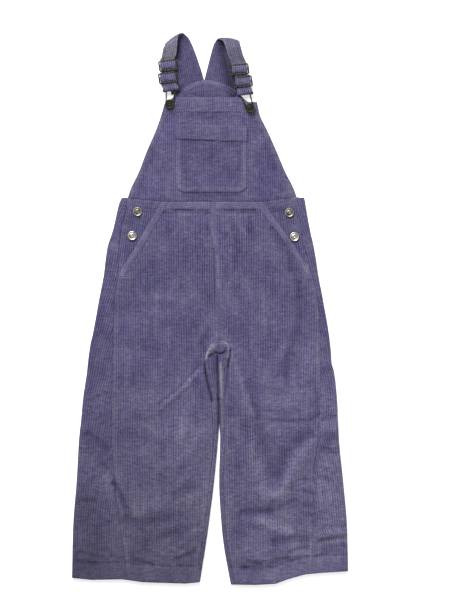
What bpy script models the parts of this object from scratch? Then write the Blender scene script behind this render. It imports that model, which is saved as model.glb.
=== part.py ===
# A child's bib overalls in wide-wale corduroy, laid flat on its back with the front up.
# Metres, +Z up. The origin lies on the floor under the middle of the garment, +Y runs up to the straps,
# and left and right are as seen from above. Tables are in millimetres.
import math
from collections import namedtuple

import bmesh
import bpy
import numpy as np

MM = 0.001

# Cloth walls and the clearances between pieces
CLOTH = 1.6 * MM          # one layer of corduroy
STRAP_CLOTH = 2.0 * MM    # the doubled shoulder strap
TRIM = 1.2 * MM           # a folded strip stitched on a panel
GAP = 0.3 * MM            # between neighbours
SEAM = 0.5 * MM           # between the panels' skins where folds run across a seam
POCKET_GAP = 0.6 * MM     # between the hip yoke and the panels that lie over it

# Heights of the outer skin above the floor
LIFT = 7.0 * MM           # upper layer of the flattened legs and hips
SAG = 1.6 * MM            # deepest trough in that layer
ROLL = 3.6 * MM           # roundness of the folded edges
FORK_LIP = 2.2 * MM       # height of the cloth where the two legs meet
BIB_EDGE = 4.0 * MM       # bib at its side edges
BIB_CROWN = 1.0 * MM      # how much the middle of the bib stands above its edges
WAIST_EDGE = 4.7 * MM     # bib at the ends of the waist seam

# Widths of the stitched strips, and heights of the seams up the garment
WAIST = 160.0 * MM
WAIST_BAND = 12.0 * MM
MOUTH_BAND = 11.5 * MM
HALF_CENTRE_STRIP = 3.75 * MM
FORK = -43.5 * MM         # where the centre seam meets the two inseams
FORK_ROWS = (-49.0, -57.0, -67.5, -79.0)
HEM = -407.0 * MM
HEM_EASE = -280.0 * MM    # below this the rows begin to follow the slant of the hem
TUCK_OUT = 2.5 * MM       # yoke hidden under the back panel's edge
TUCK_IN = 12.0 * MM       # yoke hidden under the pocket mouth

# The flattened body: x of the outer fold, of the back panel's edge on the front, of the front panel's
# outer edge (pocket mouth, then outseam), of its inner edge (centre seam, then inseam) and of the inner
# fold of the leg. dip is how far that fold, or the back seam, lies below the row, and roll is how
# gradually the top skin goes down to the fold.
BodyRow = namedtuple("BodyRow", "y outer wrap mouth inner fold dip roll")
LEFT_BODY = (
    BodyRow(166.0, -132.5, -124.5, -70.0, 4.7, 4.7, 0.0, 3.6),
    BodyRow(160.0, -135.5, -124.5, -73.0, 4.7, 4.7, 0.0, 3.6),
    BodyRow(118.0, -145.5, -133.0, -97.0, 5.0, 5.0, -3.0, 3.6),
    BodyRow(91.0, -154.0, -136.5, -112.5, 10.0, 10.0, -5.0, 3.6),
    BodyRow(47.0, -160.0, -138.0, -137.0, 12.2, 12.2, -9.0, 3.6),
    BodyRow(13.0, -166.5, -143.0, -143.0, 12.4, 12.4, -13.0, 3.6),
    BodyRow(-43.5, -177.0, -145.0, -145.0, 14.2, 12.0, -24.0, 7.0),
    BodyRow(-49.0, -178.5, -145.2, -145.2, 5.0, 10.6, -21.5, 9.0),
    BodyRow(-57.0, -180.0, -145.4, -145.4, -1.5, 10.0, -16.5, 11.0),
    BodyRow(-67.5, -181.5, -145.6, -145.6, -6.0, 9.6, -9.0, 10.0),
    BodyRow(-79.0, -183.0, -145.8, -145.8, -7.5, 9.6, -2.0, 6.0),
    BodyRow(-94.0, -184.5, -146.0, -146.0, -7.0, 10.0, 0.0, 4.5),
    BodyRow(-136.0, -190.5, -146.5, -146.5, 2.0, 11.5, 0.0, 3.6),
    BodyRow(-197.0, -196.5, -147.0, -147.0, 4.5, 12.0, 0.0, 3.6),
    BodyRow(-257.0, -200.0, -143.0, -143.0, -0.5, 6.5, 0.0, 3.6),
    BodyRow(-332.0, -205.5, -133.5, -133.5, -9.5, -3.0, 0.0, 3.6),
    BodyRow(-407.0, -207.0, -123.0, -123.0, -21.5, -15.0, 0.0, 3.6),
)
RIGHT_BODY = (
    BodyRow(166.0, 141.5, 130.5, 76.0, 4.7, 4.7, 0.0, 3.6),
    BodyRow(160.0, 142.5, 130.5, 79.5, 4.7, 4.7, 0.0, 3.6),
    BodyRow(118.0, 150.0, 136.0, 109.0, 5.0, 5.0, -3.0, 3.6),
    BodyRow(91.0, 156.0, 142.0, 128.5, 10.0, 10.0, -5.0, 3.6),
    BodyRow(47.0, 163.0, 154.5, 153.5, 12.2, 12.2, -9.0, 3.6),
    BodyRow(13.0, 169.5, 161.0, 161.0, 12.4, 12.4, -13.0, 3.6),
    BodyRow(-43.5, 179.0, 165.0, 165.0, 14.2, 13.2, -24.0, 7.0),
    BodyRow(-49.0, 179.5, 165.0, 165.0, 24.0, 13.0, -21.5, 9.0),
    BodyRow(-57.0, 180.5, 165.0, 165.0, 29.5, 12.6, -16.5, 11.0),
    BodyRow(-67.5, 181.5, 165.0, 165.0, 31.0, 12.0, -9.0, 10.0),
    BodyRow(-79.0, 182.0, 165.0, 165.0, 29.5, 11.6, -2.0, 6.0),
    BodyRow(-94.0, 186.0, 165.0, 165.0, 27.0, 11.8, 0.0, 4.5),
    BodyRow(-136.0, 190.5, 165.0, 165.0, 22.5, 13.5, 0.0, 3.6),
    BodyRow(-197.0, 193.5, 161.0, 161.0, 22.5, 15.0, 0.0, 3.6),
    BodyRow(-257.0, 199.5, 154.5, 154.5, 20.5, 13.5, 0.0, 3.6),
    BodyRow(-332.0, 205.5, 154.0, 154.0, 24.5, 18.0, 0.0, 3.6),
    BodyRow(-407.0, 207.0, 153.0, 153.0, 37.5, 31.0, 0.0, 3.6),
)

# The centre seam, down to the crotch
SeamPoint = namedtuple("SeamPoint", "y x")
CENTRE_SEAM = (SeamPoint(-43.5, 14.2), SeamPoint(13.0, 12.4), SeamPoint(47.0, 12.2), SeamPoint(91.0, 10.0),
               SeamPoint(118.0, 5.0), SeamPoint(166.0, 4.7))

# The lower edge of each leg, from side to side
EdgePoint = namedtuple("EdgePoint", "x y")
LEFT_HEM = (EdgePoint(-207.0, -403.5), EdgePoint(-177.0, -406.5), EdgePoint(-132.0, -405.5),
            EdgePoint(-100.0, -410.0), EdgePoint(-37.0, -412.0), EdgePoint(-15.0, -410.0))
RIGHT_HEM = (EdgePoint(31.0, -413.5), EdgePoint(68.0, -414.0), EdgePoint(98.0, -412.5),
             EdgePoint(117.0, -405.5), EdgePoint(142.0, -398.5), EdgePoint(167.0, -396.0),
             EdgePoint(207.0, -393.5))

# The large folds of the upper layer: each is a soft ridge, or a trough where height is negative
Fold = namedtuple("Fold", "x0 y0 x1 y1 width height")
FOLDS = (
    Fold(-18.0, -92.0, -82.5, -149.0, 10.0, 3.6),      # drag line from the crotch, left leg
    Fold(-90.0, -197.0, -15.0, -182.0, 13.0, 2.2),
    Fold(-147.5, -247.0, -123.0, -314.0, 11.0, 3.0),
    Fold(-183.0, -193.0, -157.5, -212.0, 10.0, 2.4),
    Fold(-120.0, -310.0, -52.5, -299.0, 12.0, 2.6),
    Fold(-180.0, -317.0, -90.0, -345.0, 12.0, 2.2),
    Fold(-120.0, -20.0, -40.0, -8.0, 14.0, 1.8),
    Fold(10.0, -36.0, -4.0, -62.0, 8.0, 2.0),          # raised seams round the crotch
    Fold(19.0, -36.0, 33.0, -62.0, 8.0, 2.0),
    Fold(36.0, -62.0, 48.0, -100.0, 10.0, 3.0),        # drag line from the crotch, right leg
    Fold(48.0, -100.0, 67.5, -167.0, 11.0, 4.0),
    Fold(129.0, -205.0, 109.5, -266.0, 12.0, 4.0),
    Fold(112.5, -212.0, 93.0, -257.0, 10.0, -3.0),     # the V behind the knee
    Fold(78.0, -197.0, 87.0, -254.0, 12.0, 3.4),
    Fold(52.5, -287.0, 123.0, -272.0, 11.0, 3.6),
    Fold(48.0, -305.0, 123.0, -293.0, 10.0, -2.6),
    Fold(60.0, -328.0, 140.0, -318.0, 12.0, 2.2),
    Fold(157.5, -344.0, 200.0, -341.0, 10.0, 3.4),
    Fold(45.0, -371.0, 135.0, -359.0, 11.0, 2.6),
    Fold(24.0, 140.0, 32.0, 30.0, 9.0, 1.8),           # gathers under the waist seam
    Fold(62.0, 138.0, 56.0, 50.0, 9.0, 1.6),
)

# The bib, from its top edge down to the waist seam
BibRow = namedtuple("BibRow", "y left right")
BIB = (
    BibRow(316.5, -64.5, 70.0),
    BibRow(307.0, -68.5, 71.0),
    BibRow(294.0, -72.0, 73.5),
    BibRow(268.0, -81.0, 85.5),
    BibRow(238.0, -94.0, 99.0),
    BibRow(208.0, -105.5, 111.5),
    BibRow(178.0, -118.0, 124.5),
    BibRow(160.0, -123.5, 130.0),
)
WAIST_SEAM = (EdgePoint(-124.5, 165.8), EdgePoint(-73.5, 160.8), EdgePoint(-70.0, 160.4),
              EdgePoint(76.0, 160.4), EdgePoint(79.5, 160.8), EdgePoint(130.5, 167.0))
YOKE_TOP = (EdgePoint(-130.0, 165.8), EdgePoint(-124.5, 165.5), EdgePoint(-73.5, 160.5),
            EdgePoint(-60.0, 159.2), EdgePoint(66.0, 159.2), EdgePoint(79.5, 160.5),
            EdgePoint(130.5, 166.7), EdgePoint(136.0, 167.0))
BIB_HEM = 22.5 * MM
BIB_POCKET_LEFT = -51.0 * MM
BIB_POCKET_RIGHT = 55.5 * MM
BIB_POCKET_TOP = (EdgePoint(-51.0, 276.5), EdgePoint(55.5, 273.5))
BIB_POCKET_BOTTOM = 174.0 * MM
BIB_POCKET_CORNER = 12.5 * MM
BIB_POCKET_HEM = 22.5 * MM
BACK_BIB_INSET = 2.0 * MM
BACK_BIB_FOOT = 166.4 * MM
ARCH = (EdgePoint(-59.0, 318.5), EdgePoint(-7.0, 342.0), EdgePoint(45.5, 319.5))  # strap seam of the back
ARCH_BAND = 8.0 * MM
ARCH_BAND_ENDS = (-44.0 * MM, 31.0 * MM)

# The straps: middle of the band, its height, width, the slant of its cross line and how far its right
# edge stands above its left edge
StrapRow = namedtuple("StrapRow", "x y z width slant bank")
LEFT_STRAP = (
    StrapRow(-33.2, 331.0, 1.0, 54.0, 24.6, 0.0),
    StrapRow(-37.0, 350.0, 1.0, 50.0, 16.5, 0.0),
    StrapRow(-41.0, 368.0, 1.0, 45.0, 12.4, 0.0),
    StrapRow(-45.0, 384.5, 1.0, 40.5, 10.5, 0.0),
    StrapRow(-48.5, 394.5, 1.3, 37.0, 15.0, 0.0),
    StrapRow(-51.7, 401.0, 3.0, 33.5, 23.0, 0.6),
    StrapRow(-54.6, 404.6, 7.2, 29.5, 31.0, 1.0),
    StrapRow(-57.6, 402.4, 12.4, 26.5, 32.0, 1.0),
    StrapRow(-60.2, 394.0, 14.4, 24.0, 24.0, 1.0),
    StrapRow(-61.7, 383.0, 12.6, 22.5, 12.0, 0.6),
    StrapRow(-62.2, 378.0, 9.0, 22.0, 9.0, 0.0),
)
RIGHT_STRAP = (
    StrapRow(19.6, 331.2, 1.0, 55.0, -23.6, 0.0),
    StrapRow(21.4, 350.0, 1.0, 48.5, -12.0, 0.0),
    StrapRow(23.0, 367.0, 1.0, 43.5, -8.0, 0.0),
    StrapRow(25.0, 383.0, 1.0, 38.5, -5.0, 0.0),
    StrapRow(26.8, 392.5, 1.3, 35.0, -8.0, 0.0),
    StrapRow(28.4, 399.4, 3.0, 31.5, -13.0, -0.6),
    StrapRow(30.0, 402.8, 7.2, 28.5, -15.0, -1.0),
    StrapRow(32.2, 400.0, 12.4, 26.0, -11.0, -1.0),
    StrapRow(34.6, 389.5, 14.4, 23.5, -4.0, -1.0),
    StrapRow(38.6, 377.5, 12.6, 22.5, 3.0, -0.6),
    StrapRow(41.2, 372.3, 9.0, 22.0, 5.4, 0.0),
)

# Strap hardware: two slides and a wire buckle on each strap
SLIDE_WIDTH = 27.5 * MM
SLIDE_HEIGHT = 15.5 * MM
SLIDE_BAR = 1.6 * MM
SLIDE_THICK = 1.4 * MM
SLIDE_CORNER = 2.4 * MM
SLIDE_Z = 6.6 * MM
STRAP_UNDER_BAR = 4.5 * MM
STRAP_OVER_BAR = 8.8 * MM
RUN_WIDTH = 22.0 * MM
WIRE = 1.8 * MM
BUCKLE_Z = 7.7 * MM
BUCKLE_BAR = 13.0 * MM
BUCKLE_WAIST = 5.8 * MM
BUCKLE_DROP = 15.0 * MM

# Where the hardware lies: middle and turn in the plane of the floor
Place = namedtuple("Place", "x y turn")
SLIDES = {
    "left": (Place(-63.0, 364.0, 8.5), Place(-63.2, 345.4, 8.5)),
    "right": (Place(44.4, 358.2, 5.4), Place(49.6, 339.6, 6.0)),
}
BUCKLES = {"left": Place(-58.6, 328.5, 7.0), "right": Place(52.4, 322.8, 8.0)}
BIB_BUTTONS = {"left": Place(-60.5, 306.0, 0.0), "right": Place(60.0, 300.0, 0.0)}
SIDE_BUTTONS = {
    "side_button_left_upper": Place(-108.5, 145.0, 0.0),
    "side_button_left_lower": Place(-116.5, 109.0, 0.0),
    "side_button_right_upper": Place(119.0, 143.5, 0.0),
    "side_button_right_lower": Place(126.5, 107.5, 0.0),
}
BUTTON_RADIUS = 7.0 * MM
BUTTON_NECK = 2.4 * MM
BUTTON_STEPS = 18

# Mesh density
CENTRE_STEPS = 8          # rows from the waist band to the crotch
LEG_STEPS = 16            # rows from below the crotch to the hem
PANEL_STEPS = 10          # columns across a front panel
FLOOR_STEPS = 6           # columns across a back panel
ROLL_ANGLES = (45.0, 90.0, 135.0)


# ---------------------------------------------------------------- tables

def read(table, name, y):
    """A named column of a table at height y, eased from row to row without overshoot."""
    rows = sorted(table, key=lambda row: row.y)
    heights = np.array([row.y for row in rows]) * MM
    values = np.array([getattr(row, name) for row in rows]) * MM
    return ease(heights, values, y)


def ease(knots, values, at):
    """Monotone cubic through the knots."""
    at = min(max(at, knots[0]), knots[-1])
    steps = np.diff(values) / np.diff(knots)
    slopes = np.zeros(len(knots))
    slopes[0], slopes[-1] = steps[0], steps[-1]
    for i in range(1, len(knots) - 1):
        if steps[i - 1] * steps[i] > 0:
            slopes[i] = 2 * steps[i - 1] * steps[i] / (steps[i - 1] + steps[i])
    i = min(int(np.searchsorted(knots, at, side="right")) - 1, len(knots) - 2)
    span = knots[i + 1] - knots[i]
    t = (at - knots[i]) / span
    return ((1 + 2 * t) * (1 - t) ** 2 * values[i] + t * t * (3 - 2 * t) * values[i + 1]
            + span * (t * (1 - t) ** 2 * slopes[i] - t * t * (1 - t) * slopes[i + 1]))


def edge_height(edge, x):
    """Height of a drawn edge at x."""
    return float(np.interp(x, [p.x * MM for p in edge], [p.y * MM for p in edge]))


def centre_seam(y):
    return float(np.interp(y, [p.y * MM for p in CENTRE_SEAM], [p.x * MM for p in CENTRE_SEAM]))


def inner_edge(body, y):
    """Centre seam above the crotch, inseam below it."""
    return centre_seam(y) if y >= FORK - GAP / 10 else read(body, "inner", y)


def front_edge(body, y):
    """Outer edge of the front panel, never beyond the back panel's edge."""
    wrap, mouth = read(body, "wrap", y), read(body, "mouth", y)
    return max(wrap, mouth) if wrap < 0 else min(wrap, mouth)


def smoothstep(t):
    t = min(max(t, 0.0), 1.0)
    return t * t * (3 - 2 * t)


# ---------------------------------------------------------------- surfaces of the body

def relief(x, y):
    """Height that the folds add to the upper layer."""
    total = 0.0
    for fold in FOLDS:
        x0, y0, x1, y1 = (v * MM for v in (fold.x0, fold.y0, fold.x1, fold.y1))
        run = (x1 - x0) ** 2 + (y1 - y0) ** 2
        t = min(max(((x - x0) * (x1 - x0) + (y - y0) * (y1 - y0)) / run, 0.0), 1.0)
        away = math.hypot(x - x0 - t * (x1 - x0), y - y0 - t * (y1 - y0))
        total += fold.height * MM * math.exp(-(away / (fold.width * MM)) ** 2)
    return max(total, -SAG)


def top(x, y):
    """Outer skin of the upper layer."""
    return LIFT + relief(x, y)


def hem_shift(hem, x, y):
    """How far a row moves so that the lowest row follows the hem."""
    return (edge_height(hem, x) - HEM) * smoothstep((HEM_EASE - y) / (HEM_EASE - HEM))


def body_rows():
    """Heights of the rows that the front and the back panels share."""
    upper = list(np.linspace(WAIST - WAIST_BAND, FORK, CENTRE_STEPS + 1))
    fork = [y * MM for y in FORK_ROWS]
    lower = list(np.linspace(fork[-1], HEM, LEG_STEPS + 1))[1:]
    return [WAIST] + upper + fork + lower


def front_skin(body, hem):
    """Outer points of a front panel, from its outer edge to the centre seam and inseam."""
    skin = []
    for y in body_rows():
        mouth = front_edge(body, y)
        inner = inner_edge(body, y)
        inward = math.copysign(1.0, inner - mouth)
        mouth += inward * SEAM / 2
        inner -= inward * (GAP if y > FORK - GAP else SEAM) / 2
        first = mouth + inward * MOUTH_BAND
        last = inner - inward * HALF_CENTRE_STRIP
        across = [mouth, *np.linspace(first, last, PANEL_STEPS + 1), inner]
        row = []
        for x in across:
            down = y + hem_shift(hem, x, y)
            row.append((x, down, top(x, down)))
        skin.append(row)
    return np.array(skin)


def back_skin(body, hem):
    """Outer points of a back panel: from its edge on the front, round the outer fold, along the floor
    and, below the crotch, up round the inner fold to the inseam."""
    skin = []
    for y in [read_top(body)] + body_rows():
        wrap, outer = read(body, "wrap", y), read(body, "outer", y)
        inward = math.copysign(1.0, wrap - outer)
        start = wrap - inward * SEAM / 2
        shoulder = outer + inward * ROLL
        row = [(x, y, top(x, y)) for x in np.linspace(start, shoulder, 3)]
        half = top(shoulder, y) / 2
        for angle in ROLL_ANGLES:
            turn = math.radians(angle)
            row.append((shoulder - inward * ROLL * math.sin(turn), y, half * (1 + math.cos(turn))))
        row.append((shoulder, y, 0.0))
        row += inner_run(body, y, shoulder)
        skin.append([(x, down + hem_shift(hem, x, down), z) for x, down, z in row])
    return np.array(skin)


def read_top(body):
    return max(row.y for row in body) * MM


def inner_run(body, y, shoulder):
    """The rest of a back panel's row, from the outer fold's foot to the inseam."""
    seam = np.array((inner_edge(body, y), y))
    fold = np.array((read(body, "fold", y), y + read(body, "dip", y)))
    inward = math.copysign(1.0, seam[0] - shoulder)
    if y > FORK + GAP:
        foot = np.array((seam[0] - inward * GAP / 2, fold[1]))
        heading, seam_end = np.array((inward, 0.0)), foot
    else:
        heading = (fold - seam) / np.linalg.norm(fold - seam)
        foot = fold - heading * ROLL
        seam_end = seam + heading * SEAM / 2
        if y > FORK - GAP:
            seam_end = seam + np.array((-inward * GAP, -4 * GAP))
    run = []
    for t in np.linspace(0.0, 1.0, FLOOR_STEPS + 1)[1:]:
        x = shoulder + t * (foot[0] - shoulder)
        run.append((x, y + smoothstep(t) * (foot[1] - y), 0.0))
    crest = fold - heading * read(body, "roll", y)
    height = top(crest[0], crest[1])
    open_fork = smoothstep((read(body, "roll", y) - ROLL) / ROLL)
    lip = height / 2 + open_fork * (FORK_LIP - height / 2)
    for angle in ROLL_ANGLES:
        turn = math.radians(angle)
        if angle <= 90.0:
            at = foot + heading * ROLL * math.sin(turn)
            z = lip * (1 - math.cos(turn))
        else:
            at = crest + (fold - crest) * math.sin(turn)
            z = lip - (height - lip) * math.cos(turn)
        run.append((at[0], at[1], z))
    for t in (0.0, 0.5, 1.0):
        at = crest + t * (seam_end - crest)
        run.append((at[0], at[1], top(at[0], at[1])))
    return run


def yoke_skin(body):
    """Outer points of a hip yoke, tucked under the back panel's edge and under the pocket mouth."""
    skin = []
    lowest = 36.0 * MM
    for y in np.linspace(WAIST, lowest, 9):
        wrap, mouth = read(body, "wrap", y), front_edge(body, y)
        inward = -math.copysign(1.0, wrap)
        row = []
        for x in np.linspace(wrap - inward * TUCK_OUT, mouth + inward * TUCK_IN, 6):
            rise = (edge_height(YOKE_TOP, x) - WAIST) * smoothstep((y - WAIST + 2 * BIB_HEM) / (2 * BIB_HEM))
            row.append((x, y + rise, LIFT - CLOTH - POCKET_GAP))
        skin.append(row)
    return np.array(skin)


# ---------------------------------------------------------------- surfaces of the bib

def bib_height(x, y):
    """Outer skin of the bib, crowned across and rising to the waist seam."""
    left, right = read(BIB, "left", y), read(BIB, "right", y)
    across = min(max((x - left) / (right - left), 0.0), 1.0)
    crown = 1 - (2 * across - 1) ** 4
    plain = BIB_EDGE + BIB_CROWN * crown
    seamed = WAIST_EDGE + (LIFT - WAIST_EDGE) * min(1.0, 2.2 * crown)
    return plain + (seamed - plain) * smoothstep(1 - (y - WAIST) / (60 * MM))


def bib_skin():
    skin = []
    highest = BIB[0].y * MM
    for y in np.linspace(highest, WAIST, 13):
        left, right = read(BIB, "left", y), read(BIB, "right", y)
        row = []
        for x in np.linspace(left, right, 15):
            shift = (edge_height(WAIST_SEAM, x) - WAIST) * smoothstep(1 - (y - WAIST) / (50 * MM))
            row.append((x, y + shift, bib_height(x, y)))
        skin.append(row)
    return np.array(skin)


def on_bib(columns, rows, above):
    """Points that lie a given height above the bib, for each column and each row function."""
    return np.array([[(x, row(x), bib_height(x, row(x)) + above) for x in columns] for row in rows])


def back_bib_skin():
    skin = []
    columns = np.linspace(0.0, 1.0, 11)
    apex = ARCH[1].x * MM
    for t in np.linspace(0.0, 1.0, 9):
        crest = BIB[0].y * MM
        y = crest + t * (BACK_BIB_FOOT - crest)
        left = read(BIB, "left", y) + BACK_BIB_INSET
        right = read(BIB, "right", y) - BACK_BIB_INSET
        if t == 0.0:
            left, right = ARCH[0].x * MM, ARCH[2].x * MM
        row = []
        for u in columns:
            x = left + 2 * u * (apex - left) if u < 0.5 else apex + (2 * u - 1) * (right - apex)
            arch = edge_height(ARCH, x) - GAP
            row.append((x, arch + t * (BACK_BIB_FOOT - arch) if t else arch, CLOTH))
        skin.append(row)
    return np.array(skin)


# ---------------------------------------------------------------- straps

def strap_table(name):
    """The strap's own rows, then its run through the slides and round the buckle's bar."""
    rows = list({"left": LEFT_STRAP, "right": RIGHT_STRAP}[name])
    half = (SLIDE_HEIGHT - SLIDE_BAR) / 2 / MM
    under, over, width = STRAP_UNDER_BAR / MM, STRAP_OVER_BAR / MM, RUN_WIDTH / MM
    middle = (under + over) / 2
    for place in SLIDES[name]:
        down = np.array((math.sin(math.radians(place.turn)), -math.cos(math.radians(place.turn))))
        for along, z in ((-half - 2.2, under + 0.2), (-half, under), (-0.77 * half, under + 0.3), (-0.5 * half, middle),
                         (-0.24 * half, over - 0.4), (0.0, over), (0.24 * half, over - 0.4),
                         (0.5 * half, middle), (0.77 * half, under + 0.3), (half, under),
                         (half + 1.8, under)):
            x, y = np.array((place.x, place.y)) + along * down
            rows.append(StrapRow(x, y, z, width, place.turn, 0.0))
    place = BUCKLES[name]
    down = np.array((math.sin(math.radians(place.turn)), -math.cos(math.radians(place.turn))))
    radius = (WIRE / 2 + GAP + STRAP_CLOTH / 2) / MM + 0.3
    for angle in (-110.0, -70.0, -35.0, 0.0, 35.0, 75.0):
        turn = math.radians(angle)
        x, y = np.array((place.x, place.y)) + radius * math.cos(turn) * down
        rows.append(StrapRow(x, y, BUCKLE_Z / MM - radius * math.sin(turn), 0.92 * width, place.turn, 0.0))
    return rows


def strap_middle(name):
    """Points of the middle surface of a strap, eased along its table."""
    rows = strap_table(name)
    route = np.array([(row.x, row.y, row.z) for row in rows])
    run = np.concatenate(([0.0], np.cumsum(np.linalg.norm(np.diff(route, axis=0), axis=1))))
    stations = []
    for i in range(len(rows) - 1):
        parts = max(1, round((run[i + 1] - run[i]) / 9.0))
        stations += list(np.linspace(run[i], run[i + 1], parts + 1)[:-1])
    stations.append(run[-1])
    columns = {key: np.array([getattr(row, key) for row in rows]) for key in StrapRow._fields}
    skin = []
    for s in stations:
        x, y, z, width, slant, bank = (ease(run, columns[key], s) for key in StrapRow._fields)
        cross = np.array((math.cos(math.radians(slant)), math.sin(math.radians(slant))))
        line = []
        for across in (-0.5, -0.17, 0.17, 0.5):
            at = np.array((x, y)) + across * width * cross
            line.append((at[0], at[1], z + across * bank))
        skin.append(line)
    return np.array(skin) * MM


# ---------------------------------------------------------------- making meshes

def finish(name, rgb, roughness, metallic):
    """A plain Principled material."""
    material = bpy.data.materials.new(name)
    material.use_nodes = True
    shader = material.node_tree.nodes["Principled BSDF"]
    shader.inputs["Base Color"].default_value = (*rgb, 1.0)
    shader.inputs["Roughness"].default_value = roughness
    shader.inputs["Metallic"].default_value = metallic
    material.diffuse_color = (*rgb, 1.0)
    return material


def grid_mesh(name, points, keep=None, flip=False):
    """A sheet whose vertices take the given rows and columns of points."""
    rows, columns = points.shape[:2]
    mesh = bmesh.new()
    bmesh.ops.create_grid(mesh, x_segments=columns - 1, y_segments=rows - 1, size=0.5)
    order = sorted(mesh.verts, key=lambda v: (round(v.co.y * rows * 4), v.co.x))
    spare = []
    for k, vertex in enumerate(order):
        r, c = divmod(k, columns)
        vertex.co = points[r, c]
        if keep is not None and not keep(r, c):
            spare.append(vertex)
    bmesh.ops.delete(mesh, geom=spare, context="VERTS")
    if flip:
        bmesh.ops.reverse_faces(mesh, faces=mesh.faces)
    data = bpy.data.meshes.new(name)
    mesh.to_mesh(data)
    mesh.free()
    return data


def cloth(name, points, thickness, material, offset=-1.0, keep=None, flip=False):
    """One piece of cloth: a sheet with a wall. offset -1 puts the wall inside the given skin."""
    data = grid_mesh(name, points, keep, flip)
    data.materials.append(material)
    piece = bpy.data.objects.new(name, data)
    COLLECTION.objects.link(piece)
    wall = piece.modifiers.new("Wall", "SOLIDIFY")
    wall.thickness = thickness
    wall.offset = offset
    wall.use_even_offset = False
    wall.use_rim = True
    data.shade_smooth()
    data.set_sharp_from_angle(angle=math.radians(40))
    return piece


def raised(points, height):
    """The same points moved out along the normals of their surface."""
    along_rows = np.gradient(points, axis=0)
    along_columns = np.gradient(points, axis=1)
    normals = np.cross(along_columns, along_rows)
    normals /= np.linalg.norm(normals, axis=2, keepdims=True)
    normals *= np.sign(normals[..., 2:3])
    return points + normals * height


def turned(name, profile, place, z, material):
    """A turned piece. The profile runs down its outer side from the axis to the axis."""
    data = bpy.data.meshes.new(name)
    rim = [(r, 0.0, h) for r, h in profile]
    data.from_pydata(rim, [(i, i + 1) for i in range(len(rim) - 1)], [])
    data.materials.append(material)
    piece = bpy.data.objects.new(name, data)
    COLLECTION.objects.link(piece)
    piece.location = (place.x * MM, place.y * MM, z)
    screw = piece.modifiers.new("Turn", "SCREW")
    screw.steps = BUTTON_STEPS
    screw.render_steps = BUTTON_STEPS
    screw.use_merge_vertices = True
    screw.merge_threshold = 0.00005
    screw.use_smooth_shade = True
    return piece


def outline(curve, points):
    spline = curve.splines.new("POLY")
    spline.points.add(len(points) - 1)
    for point, at in zip(spline.points, points):
        point.co = (*at, 1.0) if len(at) == 3 else (*at, 0.0, 1.0)
    spline.use_cyclic_u = True


def rounded_box(width, height, corner, middle=(0.0, 0.0)):
    """Outline of a rectangle with round corners."""
    points = []
    for sx, sy, start in ((1, 1, 0), (-1, 1, 90), (-1, -1, 180), (1, -1, 270)):
        cx = middle[0] + sx * (width / 2 - corner)
        cy = middle[1] + sy * (height / 2 - corner)
        for step in range(4):
            turn = math.radians(start + step * 30)
            points.append((cx + corner * math.cos(turn), cy + corner * math.sin(turn)))
    return points


# ---------------------------------------------------------------- the pieces

def make_body(cord, trim):
    """Front and back panels, hip yokes and the strips stitched on the fronts."""
    rows = body_rows()
    columns_on_floor = 6 + FLOOR_STEPS
    fork_row = rows.index(FORK) + 1
    centre = {}
    for name, body, hem in (("left", LEFT_BODY, LEFT_HEM), ("right", RIGHT_BODY, RIGHT_HEM)):
        mirrored = name == "right"
        front = front_skin(body, hem)
        cloth(f"front_{name}", front, CLOTH, cord, flip=not mirrored)
        back = back_skin(body, hem)
        cloth(f"back_{name}", back, CLOTH, cord, flip=mirrored,
              keep=lambda r, c: r >= fork_row or c <= columns_on_floor)
        cloth(f"hip_yoke_{name}", yoke_skin(body), CLOTH, cord, flip=not mirrored)
        over = raised(front, GAP + TRIM)
        pocket_rows = sum(1 for y in rows if y > 44 * MM) + 1
        cloth(f"pocket_edge_{name}", over[:pocket_rows, :2], TRIM, trim, flip=not mirrored)
        band = np.array([[inset(over, r, 1, 2), *over[r, 2:-2], over[r, -2]] for r in (0, 1)])
        cloth(f"waist_band_{name}", band[:, :], TRIM, trim, flip=not mirrored)
        centre[name] = over
    seam_rows = rows.index(FORK) + 1
    middle = (centre["left"][:seam_rows, -1] + centre["right"][:seam_rows, -1]) / 2
    left = centre["left"][:seam_rows, -2].copy()
    right = centre["right"][:seam_rows, -2].copy()
    left[:, 0] += GAP
    right[:, 0] -= GAP
    cloth("centre_strip", np.stack((left, middle, right), axis=1), TRIM, trim, flip=True)


def inset(points, row, column, towards):
    """A point moved by one gap from a column towards the next."""
    step = points[row, towards] - points[row, column]
    return points[row, column] + step / np.linalg.norm(step) * GAP


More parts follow.
